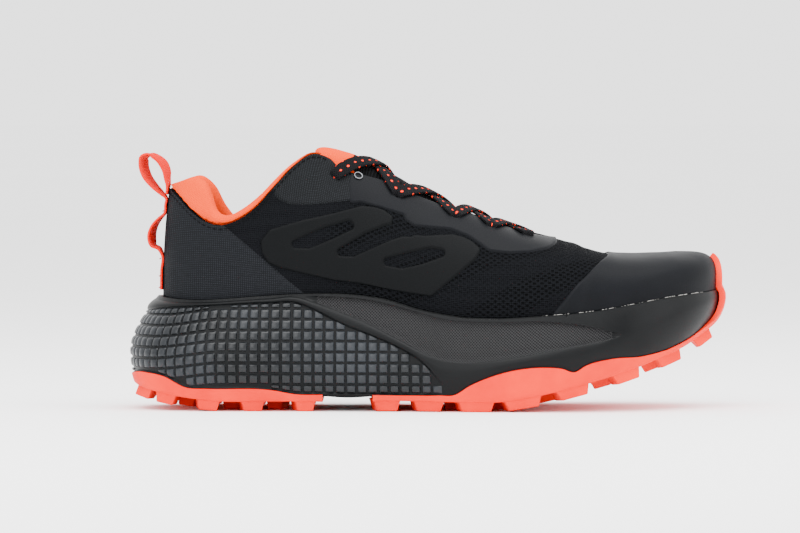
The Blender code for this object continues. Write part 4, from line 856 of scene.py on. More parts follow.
def midsole():
    """Foam midsole: the side wall read at rows that gather at the lines of its relief.

    The outset of a row is minus the groove depth in the grip field, a half sine over the rib, and
    minus the panel's depth between the panel's lines, each with a smooth step of half a millimetre.
    """
    u = stations(330)
    share = share_of(u)
    lines, rim = sole_lines(u), rim_height(u)
    ribbed = 1 - ramp(0.49, 0.52, share)
    panelled = ramp(0.26, 0.30, share) * (1 - ramp(0.79, 0.82, share))
    rib = RIB_PROUD * (1 - ramp(0.77, 0.84, share))
    heights, outsets, zones = [lines[0]], [-rubber_inset(u)], []
    for zone, count in enumerate((5, 20, 10, 12, 8)):
        for k in clustered(count):
            height = lines[zone] + (lines[zone + 1] - lines[zone]) * k
            step = ramp(0, 0.0007, np.minimum(height - lines[zone], lines[zone + 1] - height))
            outsets.append((
                -rubber_inset(u) * (k < 0.99),
                -GROOVE_DEPTH * ribbed * step,
                rib * np.sin(np.pi * k) ** 0.8,
                -PANEL_DEPTH * panelled * step,
                0 * u,
            )[zone])
            heights.append(height)
            zones.append(zone)
    heights[-1] = rim - 0.0006
    sides = []
    for side in (-1, 1):
        rows = [side_point(u, side, h, o) for h, o in zip(heights, outsets)]
        rows.append(side_point(u, side, rim - 0.00015, 0 * u - 0.0004))
        inset_in = upper_inset(u) - GAP
        rows.append(inner_point(u, side, 0.0010 + 0 * u, rim))
        rows.append(inner_point(u, side, inset_in, rim))
        rows.append(inner_point(u, side, inset_in + cup_draft(u), bed_height(u)))
        sides.append(np.array(rows))
    grid = ring(*sides)
    rows, columns = grid.shape[:2]
    up = run_of(grid)
    uv = np.stack([np.broadcast_to(run_of(grid[20]), up.shape), up], axis=-1) * 1000
    faces = capped(rows, columns)
    row_zone = np.array(zones + [4] * (rows - 1 - len(zones)))
    place = np.concatenate([share, share[-2:0:-1]])
    netted = (row_zone[:, None] == 3) & ((place > 0.285) & (place < 0.80))[None, :]
    mark = np.zeros(len(faces), int)
    mark[:netted.size] = netted.ravel()
    return piece("foam_midsole", grid, faces, [FOAM, NET], uv, 2e-5, ["midsole"], mark)


def grip_blocks():
    """Raised squares on the heel of the midsole, wrapped round the back.

    Each is a small pillow: its outset is the groove's floor at its foot and the wall's own surface
    on top, and the lines of the field cut off whole edges of it.
    """
    t = np.linspace(-0.60, 0.60, 1201)
    s = run_of(side_point(np.abs(t), np.where(t < 0, -1.0, 1.0), BLOCK_LEVEL + 0 * t, 0 * t))
    s -= np.interp(0.0, t, s)
    profile = np.array([0.0, 0.10, 0.24, 0.5, 0.76, 0.90, 1.0])
    lift = np.array([0.0, 0.74, 0.93, 1.0, 0.93, 0.74, 0.0])
    crown = lift[:, None] * lift[None, :]
    count = len(profile)
    points = []
    for i in range(int(s[0] // BLOCK_PITCH) + 1, int(s[-1] // BLOCK_PITCH) - 1):
        run = np.interp(i * BLOCK_PITCH + BLOCK_GAP / 2 + (BLOCK_PITCH - BLOCK_GAP) * profile, s, t)
        u, side = np.abs(run), np.where(run < 0, -1.0, 1.0)
        share = share_of(u)
        foot = BLOCK_FOOT - BLOCK_DROOP * (1 - ramp(0.02, 0.12, share)) + BLOCK_GAP / 2
        bottom = np.maximum(rubber_edge(u), foam_underside(u)) + 0.0012
        top = RIM_HEIGHT * along(SIDE_LINES, 1, u) - 0.0004
        fade = GROOVE_DEPTH * (1 - ramp(0.485, 0.515, share))
        for row in BLOCK_ROWS:
            low = np.maximum(foot + BLOCK_PITCH * row, bottom)
            high = np.minimum(foot + BLOCK_PITCH * (row + 1) - BLOCK_GAP, top)
            if np.min(high - low) < 0.0009 or share.max() > BLOCK_END:
                continue
            height = low + (high - low) * profile[:, None]
            points.append(side_point(u + 0 * height, side + 0 * height, height, fade * (1.2 * crown - 1.15)))
    points = np.array(points)
    uv = np.stack([points[..., 0], points[..., 2]], axis=-1) * 1000
    pattern = grid_faces(count, count)
    faces = (pattern + np.arange(len(points))[:, None, None] * count * count).reshape(-1, 4)
    return piece("grip_blocks", points, faces, [BLOCK_FOAM], uv, 0.0, (), None, 0.6)


def rubber_plate(name, ends, count):
    """Rubber plate that wraps the edge of the foam: an outer and an inner skin from edge to edge."""
    u = stations(count, float(u_of(ends[0])), float(u_of(ends[1])))
    face, low = rubber_face(u), foam_underside(u) - GAP
    edge = np.maximum(rubber_edge(u), foam_underside(u) + 0.00022)
    proud = rubber_proud(u)
    inner_out = GAP * (1 + 1.5 * toe_share(u)) - rubber_inset(u)
    bump = upper_inset(u) + proud - RUBBER_BEVEL
    shell = BUMPER_GAP + 0 * u

    def rows_from(bottom):
        above = np.maximum(edge - np.minimum(edge, rim_height(u)), (edge - bottom) * 0.16)
        high = [edge - above * k for k in (0, 0.04, 0.12, 0.25, 0.4, 0.55, 0.7, 0.85, 1)]
        return high + [bottom + (high[-1] - bottom) * k for k in (0.85, 0.68, 0.5, 0.36, 0.22, 0.12, 0.05)]

    outer, inner = [], []
    soft = [0.0005, 0.0002] + [0.0] * 12 + [0.00015, 0.0005]
    for side in (-1, 1):
        skin = [rubber_side(u, side, h, proud - s, bump - s) for h, s in zip(rows_from(face), soft)]
        outer.append(np.array(skin + [side_point(u, side, face, proud - RUBBER_BEVEL)]))
        skin = [rubber_side(u, side, h, inner_out, shell) for h in rows_from(low)]
        inner.append(np.array(skin + [side_point(u, side, low, inner_out)]))
    loop = np.concatenate([outer[0], outer[1][::-1], inner[1], inner[0][::-1]])
    rows, columns = loop.shape[:2]
    loop = np.concatenate([loop, loop[:1]])
    open_ends = ((0, ends[0] > 0), (columns - 1, ends[1] < 1))
    caps = [end_cap(rows, columns, column) for column, is_open in open_ends if is_open]
    faces = np.concatenate([grid_faces(rows + 1, columns, False, True), *caps])
    node = name.replace("rubber_", "outsole_")
    return piece(name, loop, faces, [RUBBER], None, 3e-6, [node], None, 0.7)


def lugs(name, table):
    """Lugs under one rubber piece: prisms that narrow to their tips, with their edges rounded.

    The corners go round the root and then round the tip, and each stands square to the sole's face.
    """
    along_it = np.tile([-0.5, 0.5, 0.5, -0.5], 2)
    inwards = np.tile([0, 0, 1, 1], 2)
    depth = np.repeat([LUG_ROOT, -LUG_HEIGHT], 4)
    taper, narrow = np.repeat([1, LUG_TAPER], 4), np.repeat([1, LUG_NARROW], 4)
    block = [[0, 1, 2, 3], [7, 6, 5, 4]] + [[i, i + 4, (i + 1) % 4 + 4, (i + 1) % 4] for i in range(4)]
    points, faces = [], []
    scale = np.array([SHOE_LENGTH, SHOE_LENGTH, RIM_WIDTH, RIM_WIDTH, SHOE_LENGTH])
    for centre, length, start, width, sweep in table * scale:
        ahead = centre + along_it * length * taper + sweep * inwards
        sole_width = np.linalg.norm(sole_face(centre, 1.0) - sole_face(centre, 0.0))
        share = (start + width * (0.5 + (inwards - 0.5) * narrow)) / sole_width
        for side in (-1, 1):
            across = share if side < 0 else 1 - share
            slope = sole_face(ahead + 0.002, across) - sole_face(ahead - 0.002, across)
            up = unit(np.stack([-slope[:, 2], 0 * depth, slope[:, 0]], -1))
            corners = sole_face(ahead, across) + up * depth[:, None]
            corners[:, 2] = np.maximum(corners[:, 2], 0.0)
            faces += [[8 * len(points) + i for i in (f if side > 0 else f[::-1])] for f in block]
            points.append(corners)
    item = piece(name, np.array(points), faces, [RUBBER], None, 0.0, (), None, 0.5)
    work = bmesh.new()
    work.from_mesh(item.data)
    bmesh.ops.recalc_face_normals(work, faces=work.faces)
    work.to_mesh(item.data)
    work.free()
    bevel = item.modifiers.new("Rounded", "BEVEL")
    bevel.width = 0.0006
    bevel.segments = 2


# Upper and its films


def rows_up(u, count):
    """Shares of the way up a sheet: even steps of height at the rim, even steps of angle at the top."""
    k = np.linspace(0, 1, count)[:, None]
    return (1 - k) * np.arcsin(k ** (along(ARCH, 4, u) / 2)) * 2 / np.pi + k**2


def both_sides(u, rows_of, offset_of):
    """Points, UVs, u and q of a sheet on both sides of the last, as rows by columns for each side.

    rows_of gives q from u and side, and offset_of the distance from the last. Along is measured on
    the rim and up along the arch, in millimetres.
    """
    made = []
    for side in (-1.0, 1.0):
        uu, q = rows_of(u, side)
        ss = np.full(uu.shape, side)
        points = shell_point(uu, ss, q, offset_of(uu, ss, q))
        up = run_of(arch_point(uu, ss, q))
        made.append((points, np.stack([RIM_LENGTH * share_of(uu), up], -1) * 1000, uu, q))
    return made


def join_sides(made, keep=None):
    """Stacks the two sides of a sheet: the lateral faces turned one way, the medial the other."""
    points, uvs, faces = [], [], []
    start = 0
    for side, (grid, uv, uu, q) in zip((-1.0, 1.0), made):
        rows, columns = grid.shape[:2]
        quads = grid_faces(rows, columns, False, side > 0)
        if keep is not None:
            quads = quads[keep(uu, np.full(uu.shape, side), q).ravel()[quads].any(axis=1)]
        faces.append(quads + start)
        start += rows * columns
        points.append(grid.reshape(-1, 3))
        uvs.append(uv.reshape(-1, 2))
    return np.concatenate(points), np.concatenate(faces), np.concatenate(uvs)


def eyelet_spots():
    """(u, side, q) of every eyelet, the spare ones last."""
    sets = [(side, share, EYELET_INSET) for side in (-1.0, 1.0) for share in EYELETS]
    sets += [(side, SPARE_EYELET, SPARE_EYELET_DROP) for side in (-1.0, 1.0)]
    return [
        (float(u_of(share)), side, float(below_edge(u_of(share), side, drop)))
        for side, share, drop in sets
    ]


SPOTS = eyelet_spots()


def punched(points, faces):
    """Opens the eyelets in a sheet: points near each circle slide onto it, and what lies inside goes."""
    points = points.copy()
    gone = np.zeros(len(points), bool)
    for u, side, q in SPOTS:
        centre = shell_point(np.array(u), np.array(side), np.array(q), 0.0)
        axis = arch_normal(np.array(u), np.array(side), np.array(q))
        away = points - centre
        depth = away @ axis
        flat = away - depth[:, None] * axis
        reach = np.linalg.norm(flat, axis=1)
        near = (np.abs(depth) < 0.004) & (reach < EYELET_RADIUS + 0.0005) & (reach > EYELET_RADIUS - 0.0006)
        points[near] += flat[near] * (EYELET_RADIUS / reach[near] - 1)[:, None]
        gone |= (np.abs(depth) < 0.004) & (reach <= EYELET_RADIUS - 0.0006)
    return points, faces[~gone[faces].any(axis=1)]


def upper():
    """Mesh upper: from the footbed up to the collar and the throat, closed over the toes."""
    u = stations(300)
    count = 72

    def rows_of(u, side):
        return np.broadcast_to(u, (count, len(u))), edge_q(u, side) * rows_up(u, count)

    lined = []
    for side, (grid, uv, uu, q) in zip((-1.0, 1.0), both_sides(u, rows_of, creases)):
        foot = inner_point(u, side, upper_inset(u) + cup_draft(u), bed_height(u) + GAP)[None]
        lined.append([np.concatenate([first, rest]) for first, rest in (
            (foot, grid), (uv[:1] - np.array([0.0, 12.0]), uv), (uu[:1], uu), (q[:1], q),
        )])
    points, faces, uv = join_sides(lined)
    shares = np.concatenate([share_of(part[2]).ravel() for part in lined])
    heights = np.concatenate([part[3].ravel() for part in lined])
    cells = ramp(0.56, 0.64, shares) * (1 - ramp(0.90, 0.96, heights))
    cells = np.maximum(cells, 0.9 * ramp(0.27, 0.33, shares) * (1 - ramp(0.62, 0.7, heights)))
    bands = np.sin(2 * np.pi * (heights * 2.3 - shares * 5.0 + 0.2))
    cells = cells * (0.35 + 0.65 * ramp(-0.5, 0.3, bands))
    points, faces = punched(points, faces)
    item = piece("mesh_upper", points, faces, [MESH], uv, 2e-5, ["upper"], None, 0, cells)
    wall(item, UPPER_WALL)


def inside_of(shape, x, z, corner):
    """How far inside a rounded outline in the side view a point lies, in metres, below 0 outside.

    The outline is a polygon in photo pixels whose corners are rounded by a radius: the distance to
    its edges, signed by how often a line to the right crosses it, after the polygon is drawn in.
    """
    corners = (np.array(shape) - PIXEL_ZERO) * (PIXEL, -PIXEL)
    nearest = np.full(x.shape, 1e9)
    crossings = np.zeros(x.shape, int)
    for (x0, z0), (x1, z1) in zip(corners, np.roll(corners, -1, axis=0)):
        dx, dz = x1 - x0, z1 - z0
        k = np.clip(((x - x0) * dx + (z - z0) * dz) / (dx**2 + dz**2), 0, 1)
        nearest = np.minimum(nearest, np.hypot(x - x0 - k * dx, z - z0 - k * dz))
        spans = (z0 > z) != (z1 > z)
        crossings += spans & (x < dx * (z - z0) / (dz + 1e-12) + x0)
    return np.where(crossings % 2 == 1, nearest, -nearest) + corner


def film_sheet(name, u, levels, shapes, holes, thickness, material, nodes, punch=False, corner=0.0015):
    """Film bonded on the upper. It dips under the upper outside its outline, so its edge is smooth.

    shapes and holes are outlines in the side view, mirrored on the medial side. The offset is a
    smooth step of the distance inside the outline, from below the upper to the film's thickness.
    """
    low, high, count = levels

    def rows_of(u, side):
        share = low + (high - low) * rows_up(u, count)
        return np.broadcast_to(u, share.shape), edge_q(u, side) * share

    def inside(uu, ss, q):
        spot = arch_point(uu, ss, q)
        x, z = spot[..., 0], spot[..., 2]
        depth = np.max([inside_of(shape, x, z, corner) for shape in shapes], axis=0)
        return np.min([depth] + [-inside_of(hole, x, z, corner) for hole in holes], axis=0)

    def offset_of(uu, ss, q):
        step = ramp(-FILM_SINK, FILM_SINK, inside(uu, ss, q))
        return creases(uu, ss, q) - FILM_SINK + (thickness + FILM_SINK) * step

    def kept(uu, ss, q):
        return inside(uu, ss, q) > -0.0007

    points, faces, uv = join_sides(both_sides(u, rows_of, offset_of), kept)
    if punch:
        points, faces = punched(points, faces)
    item = piece(name, points, faces, [material], uv, 2e-5, nodes, None, 0)
    wall(item, FILM_WALL)


# Outlines of the films in the side view, in photo pixels, a little past the edges they end on
EYESTAY_SHAPE = (
    (355, 120), (355, 199), (361, 198), (383, 204), (408, 212), (410, 218), (416, 222), (438, 224),
    (452, 225), (470, 232), (482, 240), (490, 246), (508, 248), (529, 247), (544, 244), (551, 240),
    (552, 234), (546, 222), (520, 190), (460, 120),
)
QUARTER_SHAPE = (
    (282, 120), (276, 186), (283, 196), (292, 200), (311, 200.5), (340, 197.5), (361, 195), (361, 120),
)
TOE_SHAPE = (
    (640, 200), (634, 252), (621, 257), (603, 269), (582, 288), (559, 315.5), (559, 330), (760, 330),
    (760, 200),
)
HEEL_SHAPE = (
    (100, 150), (196, 205), (212, 226), (250, 258), (285, 288), (300, 300), (300, 340), (100, 340),
)
PANEL_SHAPE = (
    (266, 243), (273, 234.5), (302, 226), (335, 218.5), (362, 211.5), (374, 212.5), (383, 215.5),
    (389, 220), (387, 226), (393, 233), (402, 239), (425, 241), (440, 240), (452, 239.5), (462, 242),
    (470, 246), (475.5, 251), (472, 257), (453, 273), (430, 292), (407, 289), (384, 285), (361, 280),
    (335, 277), (302, 269.5), (282, 264.5), (272, 260), (267, 252),
)
PANEL_SLOTS = (
    ((297, 245), (309, 245.5), (331, 236.5), (350, 227.5), (349, 226), (326, 232.5)),
    ((342, 253), (353, 253.5), (371, 245.5), (388, 238), (402, 233.5), (410, 234), (400, 229), (386, 231),
     (368, 238)),
    ((388, 262.5), (402, 265), (420, 261), (440, 254), (430, 253), (408, 257.5)),
)


def films():
    """All films: eyestay, quarter cloth, toe cap, heel cloth and the vented support film."""
    for name, u, levels, shape, holes, thickness, material, nodes, slot, punch, corner in (
        ("eyestay_film", (180, 0.34, 0.78), (0.42, 1.0, 90), EYESTAY_SHAPE, (), 0.0009, FILM,
         ["eyestay"], "film", True, 0.003),
        ("quarter_cloth", (110, 0.22, 0.46), (0.40, 0.995, 60), QUARTER_SHAPE, (), 0.0006, QUARTER,
         (), "mesh", False, 0.003),
        ("toe_cap_film", (170, 0.62, 1.0), (0.0, 1.0, 80), TOE_SHAPE, (), 0.0010, FILM,
         ["toe_cap"], "film", False, 0.004),
        ("heel_cloth", (110, 0.0, 0.36), (0.0, 0.99, 70), HEEL_SHAPE, (), HEEL_CLOTH, COUNTER,
         ["heel_counter"], "mesh", False, 0.004),
        ("support_film", (230, 0.26, 0.56), (0.06, 0.94, 90), PANEL_SHAPE, PANEL_SLOTS, 0.0009, TONAL_FILM,
         ["support_panel_lateral", "support_panel_medial"], "film", False, 0.002),
    ):
        film_sheet(name, stations(*u), levels, [shape], holes, thickness, material, nodes, punch,
                   corner)


# Collar, tongue and footbed


# How far the padded collar swells above its edge at the heel: shares of length, shares of COLLAR_CREST
HEEL_HUMP = {
    -1.0: np.array([(0, -0.50), (0.010, 0.05), (0.025, 1.10), (0.040, 1.90), (0.054, 2.32), (0.066, 2.30),
                    (0.077, 1.60), (0.089, 0.55), (0.104, 0.0), (0.122, -0.20), (0.14, -0.10), (0.16, 0)]),
    1.0: np.array([(0, -0.50), (0.012, -0.10), (0.03, 0.50), (0.05, 0.90), (0.075, 0.75), (0.10, 0.25),
                   (0.13, -0.05), (0.16, 0)]),
}


def collar():
    """Padded collar: a closed roll whose section is a smooth curve through twelve points.

    The section runs down the upper's inner face, round the foam and over the top edge.
    """
    back = -UPPER_WALL - 2.8 * GAP
    rings = []
    for side in (-1.0, 1.0):
        run = []
        for u in np.linspace(0, u_of(COLLAR_END), 70):
            share = share_of(u)
            fade = float(ramp(COLLAR_END, COLLAR_END - 0.09, share))
            keys, swell = HEEL_HUMP[side].T
            hump = spline(keys, swell, min(share, keys[-1])) * COLLAR_CREST
            crest = COLLAR_CREST * (0.35 + 0.65 * fade) + hump
            foam = COLLAR_FRONT_FOAM + (COLLAR_FOAM - COLLAR_FRONT_FOAM) * fade + 0.14 * hump
            section = np.array([
                (back, -COLLAR_DEPTH), (back, -COLLAR_DEPTH / 2), (back, -0.001), (back * 0.6, 2.4 * GAP),
                (0.0002, 2.2 * GAP), (0.0004, crest * 0.5), (back * 0.55, crest * 0.97),
                (back - foam * 0.45, crest * 1.02), (back - foam * 0.90, crest * 0.45), (back - foam, -0.004),
                (back - foam * 0.85, -COLLAR_DEPTH * 0.45), (back - foam * 0.30, -COLLAR_DEPTH * 0.97),
            ])
            uu, ss = np.full(12, u), np.full(12, side)
            deep = below_edge(u, side, np.maximum(-section[:, 1], 0), 61)
            spots = shell_point(uu, ss, deep, section[:, 0])
            edge = float(edge_q(np.array(u), side))
            up = unit(spots - shell_point(uu, ss, np.full(12, edge - 0.02), section[:, 0]))
            spots = spots + up * np.maximum(section[:, 1], 0)[:, None]
            closed = np.concatenate([spots[-2:], spots, spots[:3]])
            lengths = run_of(closed)
            run.append(spline(lengths, closed, np.linspace(lengths[2], lengths[-3], 45)[:-1]))
        rings.append(run)
    grid = np.array(rings[0][::-1] + rings[1][1:])
    grid[..., 2] += wave(grid, 0.035, 8) * 0.0003
    round_it = run_of(grid, 1)
    uv = np.stack([np.broadcast_to(run_of(grid[:, 20])[:, None], round_it.shape), round_it], -1) * 1000
    faces = tube_faces(*grid.shape[:2])
    item = piece("collar_roll", grid, faces, [LINING], uv, 0.0, ["collar"], None, 0)


def tongue():
    """Padded tongue under the throat: black ribbed cloth outside, orange lining inside and on top.

    Each side's strips run from the edge to the ridge. The rear end is drawn forward towards its sides,
    which makes it round from above, and the two skins close in on each other at the ends.
    """
    rows, half = 110, 22
    u = np.linspace(u_of(TONGUE_CROWN[0, 0]), u_of(TONGUE_END), rows)
    end = 1 - np.minimum(np.arange(rows), 6) / 6
    outer, inner = [], []
    for side in (-1.0, 1.0):
        for away in 1 - np.arange(half) / (half - 1):
            q = 1 - (1 - along(TONGUE_CROWN, 2, u)) * away
            ahead = 0.056 * np.cos(q * np.pi / 2) ** 0.95 + 0.030 * away**2
            spots = u + ahead * ramp(0.38, 0.20, share_of(u))
            share = share_of(spots)
            edge = edge_q(spots, side)
            hidden = np.maximum(1 - ramp(edge, edge + 0.6 * (1.001 - edge), q), ramp(0.635, 0.675, share))
            depth = TONGUE_CLEAR + (UPPER_WALL + 2 * GAP - TONGUE_CLEAR) * hidden
            depth = depth + TONGUE_TUCK * away**2 * ramp(0.34, 0.26, share)
            depth = depth + 2 * GAP * ramp(0.60, 0.67, share)
            thick = TONGUE_THICKNESS * (1 - 0.45 * away**2) * (1 - 0.5 * ramp(0.60, 0.71, share))
            round_off = thick * 0.5 * (1 - np.sqrt(1 - end**2)) + thick * 0.3 * away**8
            crown = along(TONGUE_CROWN, 1, spots)
            sides = np.full(rows, side)
            outer.append(shell_point(spots, sides, q, -depth - round_off, crown))
            inner.append(shell_point(spots, sides, q, -depth - thick + round_off, crown))
    order = list(range(half)) + [half + k for k in range(half - 2, -1, -1)]
    outer, inner = np.array(outer)[order], np.array(inner)[order]
    loop = np.concatenate([outer, inner[::-1]])
    count = loop.shape[0]
    loop = np.concatenate([loop, loop[:1]])
    round_it = run_of(loop)
    uv = np.stack([np.broadcast_to(run_of(outer[half]), round_it.shape), round_it], -1) * 1000
    caps = [end_cap(count, rows, column) for column in (0, rows - 1)]
    faces = np.concatenate([grid_faces(count + 1, rows, False, True), *caps])
    strip = np.repeat(np.arange(count), rows - 1)
    station = np.tile(share_of((u[1:] + u[:-1]) / 2), count)
    marks = np.ones(len(faces), int)
    marks[:len(strip)] = (strip >= len(order) - 1) | (station < 0.303)
    item = piece("padded_tongue", loop, faces, [TONGUE, LINING], uv, 1e-6, ["tongue"],
                 marks, 0.8)


def footbed():
    """Footbed: a thin dish inside the upper, a little cupped at its edge."""
    u = stations(160)
    inset = upper_inset(u) + cup_draft(u) + UPPER_WALL * 1.12 + 2 * GAP
    rings = []
    for height, extra in ((0.0, 0.0), (0.7, 0.0), (0.92, 0.0004), (1.0, 0.0014), (0.95, 0.004), (0.9, 0.009)):
        level = bed_height(u) + 1.5 * GAP + INSOLE_THICKNESS * height
        rings.append(ring(*[inner_point(u, side, inset + extra, level)[None] for side in (-1, 1)])[0])
    grid = np.array(rings)
    rows, columns = grid.shape[:2]
    uv = grid[..., :2] * 1000
    piece("footbed_sheet", grid, capped(rows, columns), [FOOTBED], uv, 1e-6, ["insole"],
          None, 0.8)


# Laces, loop and trim


def ribbon(name, centre, across, width, thickness, material, nodes, slot, around=14, power=0.45):
    """Flat woven strip swept along a path, its section a flattened super-ellipse, its ends closed.

    across is the strip's width direction at each point, and width may vary along it.
    """
    ahead = unit(np.gradient(centre, axis=0))
    across = unit(across - ahead * (across * ahead).sum(-1, keepdims=True))
    up = np.cross(ahead, across)
    angle = np.linspace(0, 2 * np.pi, around, endpoint=False)
    a = np.sign(np.cos(angle)) * np.abs(np.cos(angle)) ** power
    b = np.sign(np.sin(angle)) * np.abs(np.sin(angle)) ** power
    width = np.broadcast_to(width, len(centre))[:, None, None]
    thickness = np.broadcast_to(thickness, len(centre))[:, None, None]
    grid = (centre[:, None] + across[:, None] * a[None, :, None] * width / 2
            + up[:, None] * b[None, :, None] * thickness / 2)
    place = np.broadcast_to(run_of(centre)[:, None], grid.shape[:2])
    uv = np.stack([place, a[None, :] * width[:, 0] / 2], -1) * 1000
    piece(name, grid, tube_faces(*grid.shape[:2]), [material], uv, 0.0, nodes, None, 0.9)


def lace_run(start, end, lift):
    """Path of one lace run: straight up out of an eyelet, over the throat and down into the other.

    Its middle follows the upper's arch from one eyelet to the other, lifted by the fourth power of
    a sine. It is narrower and thicker where it goes through the eyelets.
    """
    k = np.linspace(0, 1, 61)
    run = np.clip((k - 0.06) / 0.88, 0, 1)
    run = 0.5 * run + 0.5 * run * run * (3 - 2 * run)
    u = start[0] + (end[0] - start[0]) * run
    side = np.where(k < 0.5, start[1], end[1]).astype(float)
    q = np.where(k < 0.5, start[2] + (1 - start[2]) * 2 * run, 1 + (end[2] - 1) * (2 * run - 1))
    rise = LACE_RISE + lift * np.sin(np.pi * k) ** 4
    rise = rise - LACE_DIVE * (1 - ramp(0.0, 0.10, k) + ramp(0.90, 1.0, k))
    centre = shell_point(u, side, q, rise)
    up = unit(shell_point(u, side, q, rise + 0.001) - centre)
    across = np.cross(up, unit(np.gradient(centre, axis=0)))
    flat = np.minimum(ramp(0.05, 0.20, k), 1 - ramp(0.80, 0.95, k))
    return centre, across, LACE_WIDTH * (0.95 + 0.25 * flat), LACE_THICKNESS * (1.1 - 0.25 * flat)


def laces():
    """Lace runs over the throat, each pair crossing, with their ends down the eyelets."""
    lateral, medial = SPOTS[:5], SPOTS[5:10]
    ribbon("lace_front_run", *lace_run(lateral[0], medial[0], -0.0012), LACE, ["lace_front"], "lace")
    for i in range(4):
        under = lace_run(lateral[i], medial[i + 1], -0.0015)
        over = lace_run(medial[i], lateral[i + 1], 0.0001)
        ribbon(f"lace_under_{i + 1}", *under, LACE, [f"lace_crossing_{i + 1}"], "lace")
        ribbon(f"lace_over_{i + 1}", *over, LACE, [], "lace")


def heel_back(height):
    """How far forward the upper's back seam lies at a height."""
    q = q_at_height(np.array(0.0), height)
    return float(arch_point(np.array(0.0), np.array(-1.0), q)[0])


def pull_loop():
    """Webbing up the back seam with a low and a high loop, a smooth curve through its points."""
    seat = HEEL_CLOTH + WEBBING_THICKNESS / 2
    path = []
    for part in ((0.467,) + LOOP_SEATS[0], LOOP_LOW, LOOP_SEATS[1], LOOP_HIGH, (0.862, 0.842)):
        for spot in part:
            if np.ndim(spot):
                path.append((spot[0] * INSTEP_HEIGHT, spot[1] * INSTEP_HEIGHT, spot[2]))
            else:
                z = spot * INSTEP_HEIGHT
                path.append((heel_back(z) - seat, z, 0.1 * (len(path) > 20)))
    path = np.array(path)
    keys = run_of(path[:, :2])
    x, z, twist = spline(keys, path, np.linspace(0, keys[-1], 150)).T
    across = np.stack([np.sin(twist * LOOP_TWIST), np.cos(twist * LOOP_TWIST), 0 * x], -1)
    ribbon("webbing_loop", np.stack([x, 0 * x, z], -1), across, WEBBING_WIDTH, WEBBING_THICKNESS, WEBBING,
           ["pull_loop"], "webbing", 20, 0.35)


def tube(name, path, radius, material, closed=False, around=8):
    """Round bead along a path."""
    ahead = unit(np.gradient(path, axis=0))
    if closed:
        ahead = unit(np.roll(path, -1, axis=0) - np.roll(path, 1, axis=0))
    side = unit(np.cross(ahead, np.where(np.abs(ahead[:, 2:]) < 0.9, [[0.0, 0.0, 1.0]], [[1.0, 0.0, 0.0]])))
    up = np.cross(side, ahead)
    angle = np.linspace(0, 2 * np.pi, around, endpoint=False)[None, :, None]
    radius = np.broadcast_to(radius, len(path))[:, None, None]
    grid = path[:, None] + radius * (side[:, None] * np.cos(angle) + up[:, None] * np.sin(angle))
    if closed:
        grid = np.concatenate([grid, grid[:1]])
    rows, columns = grid.shape[:2]
    faces = grid_faces(rows, columns, True) if closed else tube_faces(rows, columns)
    piece(name, grid, faces, [material], None, 1e-7, (), None, 0)


def stitches(name, path, outwards, sizes, material):
    """Row of stitches along a path: each an eight-sided bead, arched over the cloth by a half sine."""
    pitch, length, width = sizes
    s = run_of(path)
    starts = np.arange(pitch / 2, s[-1] - pitch / 2, pitch)
    k = np.linspace(0, 1, 6)
    at = (starts[:, None] + (k - 0.5) * length).ravel()
    spots = spline(s, path, at).reshape(len(starts), 6, 3)
    normal = unit(spline(s, outwards, at)).reshape(len(starts), 6, 3)
    across = np.cross(unit(np.gradient(spots, axis=1)), normal)
    angle = np.linspace(0, 2 * np.pi, 8, endpoint=False)
    radius = width / 2 * (0.35 + 0.65 * np.sin(np.pi * k) ** 0.5)[None, :, None, None]
    spots = spots + normal * (np.sin(np.pi * k) * width * 0.35)[None, :, None]
    round_about = across[:, :, None] * np.cos(angle)[:, None] + normal[:, :, None] * np.sin(angle)[:, None]
    faces = [[i + 48 * n for i in face] for n in range(len(starts)) for face in tube_faces(6, 8)]
    piece(name, spots[:, :, None] + radius * round_about, faces, [material], None, 0.0, (), None, 0)


def seams():
    """Seam stitches: the top line along the collar and the tacks on the pull loop."""
    u = np.linspace(0.02, u_of(0.275), 90)
    for name, side in SIDES:
        q = np.array([below_edge(one, side, TOPSTITCH_DROP) for one in u])
        sides = np.full(90, side)
        path = shell_point(u, sides, q, 0 * u + 0.0009)
        stitches(f"collar_topstitch_{name}", path, arch_normal(u, sides, q), TOPSTITCH, THREAD)
    y = np.linspace(-0.0052, 0.0052, 12)
    for row, level in enumerate((0.4745, 0.520, 0.588, 0.776)):
        z = level * INSTEP_HEIGHT
        x = heel_back(z) - HEEL_CLOTH - WEBBING_THICKNESS - 0.0001
        path = np.stack([0 * y + x, y, 0 * y + z], -1)
        outwards = np.broadcast_to([-1.0, 0.0, 0.0], path.shape)
        stitches(f"loop_tack_{row + 1}", path, outwards, LOOP_TACK, RED_THREAD)


def eyelet_rings():
    """Plated rings beside the top eyelets, a ring of wire pressed on the edge of the throat."""
    u = np.array(float(u_of(RING_SHARE)))
    angle = np.linspace(0, 2 * np.pi, 40, endpoint=False)[:, None]
    for name, side in SIDES:
        side = np.array(side)
        q = edge_q(u, side) - 0.02
        axis = arch_normal(u, side, q)
        one = unit(np.cross(axis, [0.0, 0.0, 1.0]))
        two = np.cross(axis, one)
        path = shell_point(u, side, q, 0.0013) + RING_RADIUS * (one * np.cos(angle) + two * np.sin(angle))
        tube(f"eyelet_ring_{name}", path, RING_WIRE, RING, True)


